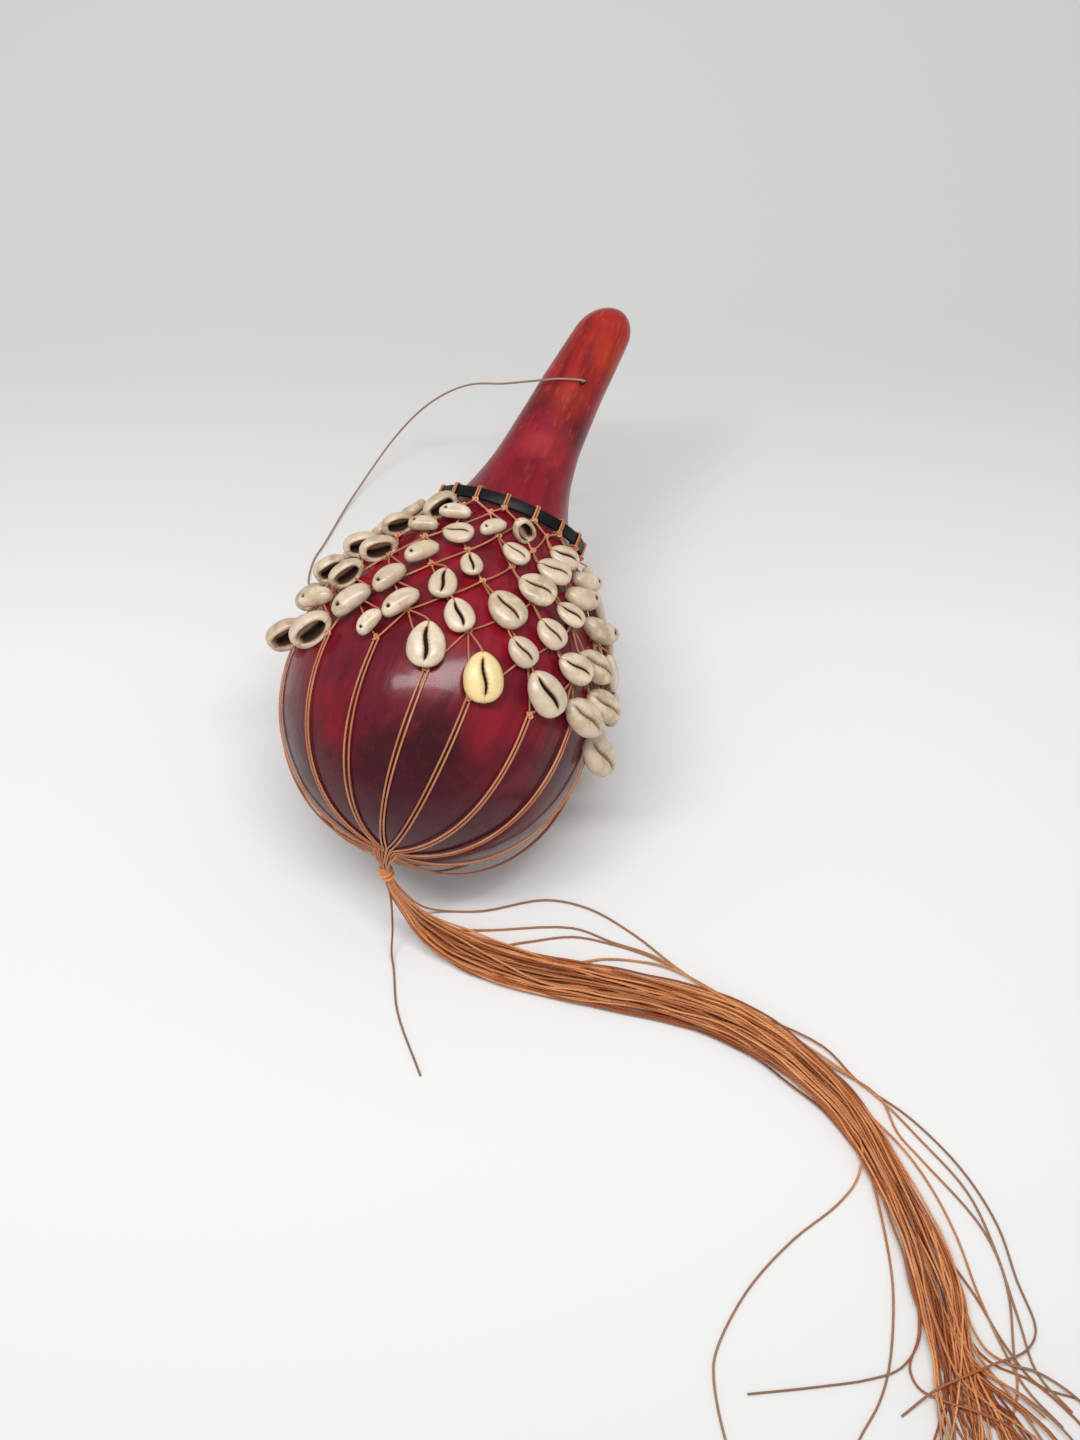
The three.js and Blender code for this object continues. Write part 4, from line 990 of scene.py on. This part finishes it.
hitchOff, hitchDown = net["hitchLeaves"]
netRoutes, legRoutes, knots = [], [], []
for column in range(net["columns"]):
    hitch = net["hitchTurn"] + net["columnTurn"] * column
    hitchOut = outward(net["hitchSlope"], hitch)
    leave = aroundAxis(hoopOuter + hitchOff, hoop["seat"] - hitchDown, hitch)
    for target in (column, column - 1):
        first = knotPoint(0, target)
        dip = leave.lerp(first, 0.5) - hitchOut * net["hitchDip"] * mm
        netRoutes.append(throughPoints([leave, dip, first], 4))
    for aside in (-net["hitchApart"], net["hitchApart"]):
        netRoutes.append(hitchLoop(hitch, aside))
    knots.append((leave, hitchOut, net["hitchSize"]))
    for row in range(lastRow + 1):
        here = knotSpot(row, column)
        knots.append((knotPoint(row, column), outward(*here), netChance.uniform(*net["knotSizes"])))
        if row < lastRow:
            netRoutes.append(skinRoute(here, knotSpot(row + 1, column), net["downSteps"], 0))
            sag = net["sag"] * netChance.uniform(*net["sags"])
            netRoutes.append(skinRoute(here, knotSpot(row + 1, column - 1), net["crossSteps"], sag))
            netRoutes.append(tieRoute(row, column))
    legRoutes += [legRoute(column, side) for side in (-0.5, 0.5)]

netCords = makeCords("netCords", netRoutes, net, paleNetCord, net["tints"])
finishPiece(netCords, "net", "waxed_cord", *[f"net_strand_{i:02d}" for i in range(1, 17)])
netLegs = makeCords("netLegs", legRoutes, net, paleNetCord, net["legTints"])
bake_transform(netLegs)
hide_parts("cord_gather")


# An overhand knot drawn tight: a trefoil of cord
def onKnot(t):
    x, y = math.sin(t) + 2 * math.sin(2 * t), math.cos(t) - 2 * math.cos(2 * t)
    return Vector((x, y, -1.5 * math.sin(3 * t))) / 3


def makeKnotShape():
    angles = [2 * math.pi * k / net["knotSides"] for k in range(net["knotSides"])]
    made = bmesh.new()
    rings = []
    for i in range(net["knotTurns"]):
        t = 2 * math.pi * i / net["knotTurns"]
        ahead = (onKnot(t + 0.02) - onKnot(t - 0.02)).normalized()
        side = ahead.cross(upright).normalized()
        over = side.cross(ahead)
        outwards = [side * math.cos(angle) + over * math.sin(angle) for angle in angles]
        rings.append([made.verts.new(onKnot(t) + out * net["knotCord"]) for out in outwards])
    joinRings(made, rings + rings[:1])
    return bpy.data.objects.new("tightKnot", meshFrom(made, "tightKnot"))


# knots take a paler tint than the cords between them: painted highlight
knotPlaces = []
for at, normal, size in knots:
    turn = normal.to_track_quat("Z", "Y") @ Quaternion((0, 0, 1), netChance.uniform(0, fullTurn))
    knotPlaces.append({"at": at, "turn": turn, "size": Vector((1, 1, 0.9)) * net["knotSize"] * size * mm,
                       "tint": net["knotHighlightTint"]})
finishPiece(setOnPoints("netKnots", knotPlaces, makeKnotShape(), paleNetCord), "net", "waxed_cord")
print("net tied:", len(netRoutes) + len(legRoutes), "cords,", len(knotPlaces), "knots")

# Shell shapes, one unit long: half the width, the rise of the outer side and the inner side, and the bend
shellLook = {
    "cream": "#ead8c2", "warm": "#efd8b2", "grey": "#bba68f", "stain": "#a5895f", "hollowShade": "#1a0d08",
    "amberAndShade": "#7d4a26", "yellow": "#f3d893", "stations": 25, "margin": 0.09, "ribbedShade": 0.45,
    "slitFrom": 0.1, "slitLength": 0.8, "cutHalf": 0.34, "holeAt": 0.8, "holeHalf": 0.03,
    "slit": {"half": 0.4, "front": 0.17, "back": 0.13, "bend": 0.0, "egg": 1.27, "gap": 0.024},
    "fine": {"half": 0.41, "front": 0.18, "back": 0.13, "bend": 0.0, "egg": 1.22, "gap": 0.011},
    "ribbed": {"half": 0.33, "front": 0.2, "back": 0.13, "bend": 0.0, "egg": 1.0, "gap": 0.008,
               "blunt": 0.72},
    "bean": {"half": 0.28, "front": 0.23, "back": 0.19, "bend": 0.15, "egg": 1.0},
    "cut": {"half": 0.36, "front": 0.23, "back": 0.14, "bend": 0.03, "egg": 1.1},
}
# Half sections from the middle of the outer side to that of the inner side: width, rise, any darkness,
# which is painted shade in the slit and the cut hollow
underside = [(0.99, 0.15), (0.97, -0.2), (0.8, -0.65), (0.45, -0.95), (0, -1)]
shellSections = {
    "slit": [(0, 0.1, 1), (0.05, 0.5, 1), (0.1, 0.86, 0.3), (0.2, 0.97), (0.36, 1), (0.56, 0.93),
             (0.76, 0.75), (0.91, 0.48), *underside],
    "fine": [(0, 0.3, 1), (0.05, 0.6, 0.9), (0.1, 0.88, 0.25), (0.2, 0.96), (0.36, 1), (0.56, 0.92),
             (0.76, 0.73), (0.91, 0.46), *underside],
    "bean": [(0, 1), (0.16, 0.99), (0.35, 0.95), (0.57, 0.84), (0.78, 0.63), (0.93, 0.36), (1, 0.02),
             (0.95, -0.35), (0.75, -0.7), (0.4, -0.93), (0, -1)],
    "cut": [(0, -0.15, 0.95), (0.22, 0, 0.6), (0.42, -0.1, 1), (0.57, 0.4, 0.85), (0.62, 0.82, 0.2),
            (0.71, 1), (0.84, 0.88), (0.95, 0.55), (1, 0.1), (0.93, -0.35), (0.7, -0.75), (0.35, -0.95),
            (0, -1)],
}
shellSections = {kind: [(*point, 0)[:3] for point in points] for kind, points in shellSections.items()}
shellSections["ribbed"] = [(share, rise, shellLook["ribbedShade"] * shadeAndRim)
                           for share, rise, shadeAndRim in shellSections["fine"]]


# One point of a shell's skin: its place across and up, and how dark it is: painted shade in the slit,
# between the teeth, in the bean's hole and in the cut hollow, and a warmer rim
def shellPoint(kind, t, tooth, sign, share, rise, shadeAndRim):
    form = shellLook[kind]
    slitFrom, slitLength = shellLook["slitFrom"], shellLook["slitLength"]
    full = (1 - abs(2 * t ** form["egg"] - 1) ** 2.3) ** form.get("blunt", 0.48)
    x, z = share * form["half"] * full, rise
    # the slit is a shallow groove darkened inside: painted shade
    if "gap" in form and share < 0.15 and rise > 0:
        gap = 0
        if slitFrom < t < slitFrom + slitLength:
            gap = form["gap"] * max(0, math.sin(math.pi * (t - slitFrom) / slitLength)) ** 0.7
        opened = min(1, gap / form["gap"] * 1.8)
        x = gap * min(1, share / 0.05)
        x += 0.028 * full if share > 0.07 else 0.012 * tooth * opened * (share > 0)
        z, shadeAndRim = 0.93 + (rise - 0.93) * opened, shadeAndRim * opened
    # darker gaps between the teeth: painted shade
    if "gap" in form and rise > 0.8 and share < 0.3 and 0.12 < t < 0.88:
        shadeAndRim = max(shadeAndRim, (0.32 if share < 0.15 else 0.14) * tooth)
    # the cut back is a shallow hollow darkened inside: painted shade
    if kind == "cut" and share < 0.65 and (rise > 0.5 or shadeAndRim > 0):
        opened = math.sqrt(max(0, 1 - ((t - 0.5) / shellLook["cutHalf"]) ** 2))
        deep = 0.3 if sign < 0 and share < 0.5 else 0
        if sign > 0 and share < 0.5:
            rise, shadeAndRim = rise + 0.15, shadeAndRim * 0.5
        closed = 1.06 - 0.12 * share
        x *= 0.35 + 0.65 * opened
        opened = min(1, opened * 1.8)
        z, shadeAndRim = closed + (rise - deep - closed) * opened, min(1, shadeAndRim + deep) * opened
    # the bean's hole is a dark spot, not cut through: painted shade
    if kind == "bean" and share < 0.2 and rise > 0 and abs(t - shellLook["holeAt"]) < shellLook["holeHalf"]:
        x, z, shadeAndRim = x * 0.5, 0.6, 1
    if share > 0.9:
        shadeAndRim = max(shadeAndRim, shellLook["margin"])  # warmer along its edge
    sway = form["bend"] * (1 - (2 * t - 1) ** 2) * 0.5
    if "gap" in form:
        sway = 0.032 * math.sin(2 * math.pi * (t - slitFrom) / slitLength) * (1 - share) * full
    height = z * (form["front"] if z > 0 else form["back"]) * full ** 0.7
    return (sign * x + sway, t - 0.5, height), shadeAndRim


def makeShellShape(kind):
    section = shellSections[kind]
    outline = [(1, *point) for point in section] + [(-1, *point) for point in section[-2:0:-1]]
    made = bmesh.new()
    shadeAndRimLayer = made.verts.layers.float.new("shadeAndRim")
    count = shellLook["stations"]
    rings = []
    for i in range(count):
        share = (i + 0.5) / count
        t = 0.01 + 0.98 * (0.6 * share + 0.4 * (0.5 - 0.5 * math.cos(math.pi * share)))
        ring = []
        for point in outline:
            place, shadeAndRim = shellPoint(kind, t, i % 2, *point)
            vert = made.verts.new(place)
            vert[shadeAndRimLayer] = shadeAndRim
            ring.append(vert)
        rings.append(ring)
    joinRings(made, rings)
    closeRing(made, rings[0], (0, -0.5, 0))
    closeRing(made, rings[-1], (0, 0.5, 0))
    return bpy.data.objects.new(kind + "Shell", meshFrom(made, kind + "Shell"))


def makeShellFinish():
    material, tree, surface = newMaterial("cowrieShell", {"Coat Roughness": 0.2})
    tint = tintParts(tree)
    shadeAndRim = addNode(tree, "ShaderNodeAttribute", attribute_name="shadeAndRim").outputs["Fac"]
    clouds = addPatches(tree, scale=130.0, detail=4.0, low=0.35, high=0.75)
    specks = addPatches(tree, scale=600.0, detail=3.0, low=0.6, high=0.8)
    stains = addPatches(tree, scale=190.0, detail=5.0, low=0.4, high=0.62)
    soiled = combine(tree, "MULTIPLY", stains, tint["Z"])
    base = blendColour(tree, tint["X"], shellLook["grey"], shellLook["cream"])
    # the shape's darkness: amber to near black in slits, tooth gaps, holes and hollows is painted shade;
    # the faint amber rim is the shell's own
    for amount, colour in ((spread(tree, clouds, 0, 0.55), "warm"), (spread(tree, soiled, 0, 0.7), "stain"),
                           (tint["Y"], "yellow"), (spread(tree, specks, 0, 0.2), "amberAndShade"),
                           (spread(tree, shadeAndRim, 0, 1, 0, 0.7), "amberAndShade"),
                           (spread(tree, shadeAndRim, 0, 1, 0.45, 0.95), "hollowShade")):
        base = blendColour(tree, amount, base, shellLook[colour])
    tree.links.new(base, surface.inputs["Base Color"])
    dull = combine(tree, "MAXIMUM", spread(tree, clouds, 0.28, 0.42), shadeAndRim)
    tree.links.new(dull, surface.inputs["Roughness"])
    tree.links.new(spread(tree, shadeAndRim, 0.25, 0, 0, 0.5), surface.inputs["Coat Weight"])
    addBump(tree, surface, stains, 0.22, 0.0006)
    return material


shellFinish = makeShellFinish()
shellShapes = {kind: makeShellShape(kind) for kind in shellSections}
hemRow = len(cowries["heights"]) - 1
shellPlaces = {kind: [] for kind in shellShapes}
for (row, column), shell in shells.items():
    across = shell["along"].cross(shell["face"])
    turn = Matrix((across, shell["along"], shell["face"])).transposed().to_quaternion()
    yellow = cowries["yellowing"] if (row, column) == cowries["yellowed"] else 0.0
    stout = Vector((shellChance.uniform(*cowries["widths"]), 1, shellChance.uniform(*cowries["depths"])))
    tint = (shellChance.uniform(*cowries["pale"]), yellow, shellChance.uniform(*cowries["soiled"]))
    place = {"at": shell["middle"], "turn": turn, "size": stout * shell["length"], "tint": tint}
    if row < hemRow:
        shellPlaces[shell["kind"]].append(place)
        continue
    piece = setOnPoints(f"hemCowrie{column + 1:02d}", [place], shellShapes[shell["kind"]], shellFinish)
    finishPiece(piece, f"cowrie_{column + 1:02d}", "cowrie_shell", f"cowrie_{column + 1:02d}")
for kind, places in shellPlaces.items():
    piece = setOnPoints(f"{kind}Cowries", places, shellShapes[kind], shellFinish)
    finishPiece(piece, "net", "cowrie_shell")
print("cowries strung:", len(shells))

# Binding: turns of cord round the neck of the tassel, the last of them crossing back over the others
binding = {"turns": 6, "pitch": 1.3, "start": -3.4, "radius": 2.45, "cord": 1.15, "sides": 7,
           "tints": [0.95], "steps": 18, "crossing": 2, "crossingReach": 0.8, "crossingLift": 0.55,
           "crossingRise": 6, "tucked": 0.75}


def makeBinding():
    down = (trunkPoints[2] - tasselHead).normalized()
    across = down.cross(upright).normalized()
    over = across.cross(down)
    points = []
    whole = binding["turns"] + binding["crossing"]
    for i in range(whole * binding["steps"] + 1):
        turns = i / binding["steps"]
        back = max(0, turns - binding["turns"]) / binding["crossing"]
        risen = min(1, back * binding["crossingRise"])
        radius = binding["radius"] + binding["cord"] * binding["crossingLift"] * risen
        if turns in (0, whole):
            radius *= binding["tucked"]
        wound = min(turns, binding["turns"]) - back * binding["turns"] * binding["crossingReach"]
        depth = binding["start"] + binding["pitch"] * wound
        angle = 2 * math.pi * turns
        out = (across * math.cos(angle) + over * math.sin(angle)) * radius
        points.append(tasselHead + (down * depth + out) * mm)
    return makeCords("tasselBinding", [points], binding, waxedCord, binding["tints"])


finishPiece(makeBinding(), "tassel", "waxed_cord", "tassel_binding")
print("tassel bound")

# Pale table, a little greyer in front and greying towards the back: painted shade where the light falls off
table = {"near": "#f4f4f3", "front": "#e7e7e5", "back": "#dededc", "far": "#fdfdfc", "size": 30.0,
         "fades": (("front", -0.25, -0.55), ("back", 0.02, 0.22), ("far", 0.26, 0.9))}


def makeTable():
    made = bmesh.new()
    bmesh.ops.create_grid(made, x_segments=1, y_segments=1, size=table["size"])
    mesh = meshFrom(made, "table", smooth=False)
    material, tree, surface = newMaterial("paleTable", {"Roughness": 0.85, "Specular IOR Level": 0.1})
    place = addNode(tree, "ShaderNodeTexCoord")
    parts = addNode(tree, "ShaderNodeSeparateXYZ")
    wireAll(tree, (place, "Object", parts, "Vector"))
    shade = table["near"]
    for edge, start, end in table["fades"]:
        shade = blendColour(tree, spread(tree, parts.outputs["Y"], 0, 1, start, end), shade, table[edge])
    tree.links.new(shade, surface.inputs["Base Color"])
    mesh.materials.append(material)
    addPiece("table", mesh)


makeTable()

# Soft light from overhead and from all round
light = {"power": 10.4, "size": (1.1, 0.18), "at": (-0.09, -0.25, 1.25), "sky": 0.46}
lamp = bpy.data.objects.new("overhead", bpy.data.lights.new("overhead", "AREA"))
lamp.data.shape = "RECTANGLE"
lamp.data.size, lamp.data.size_y = light["size"]
lamp.data.energy = light["power"]
lamp.location = light["at"]
scene.collection.objects.link(lamp)
scene.world = scene.world or bpy.data.worlds.new("room")
scene.world.use_nodes = True
sky = scene.world.node_tree.nodes["Background"]
sky.inputs["Color"].default_value = (1, 1, 1, 1)
sky.inputs["Strength"].default_value = light["sky"]
print("stage lit")
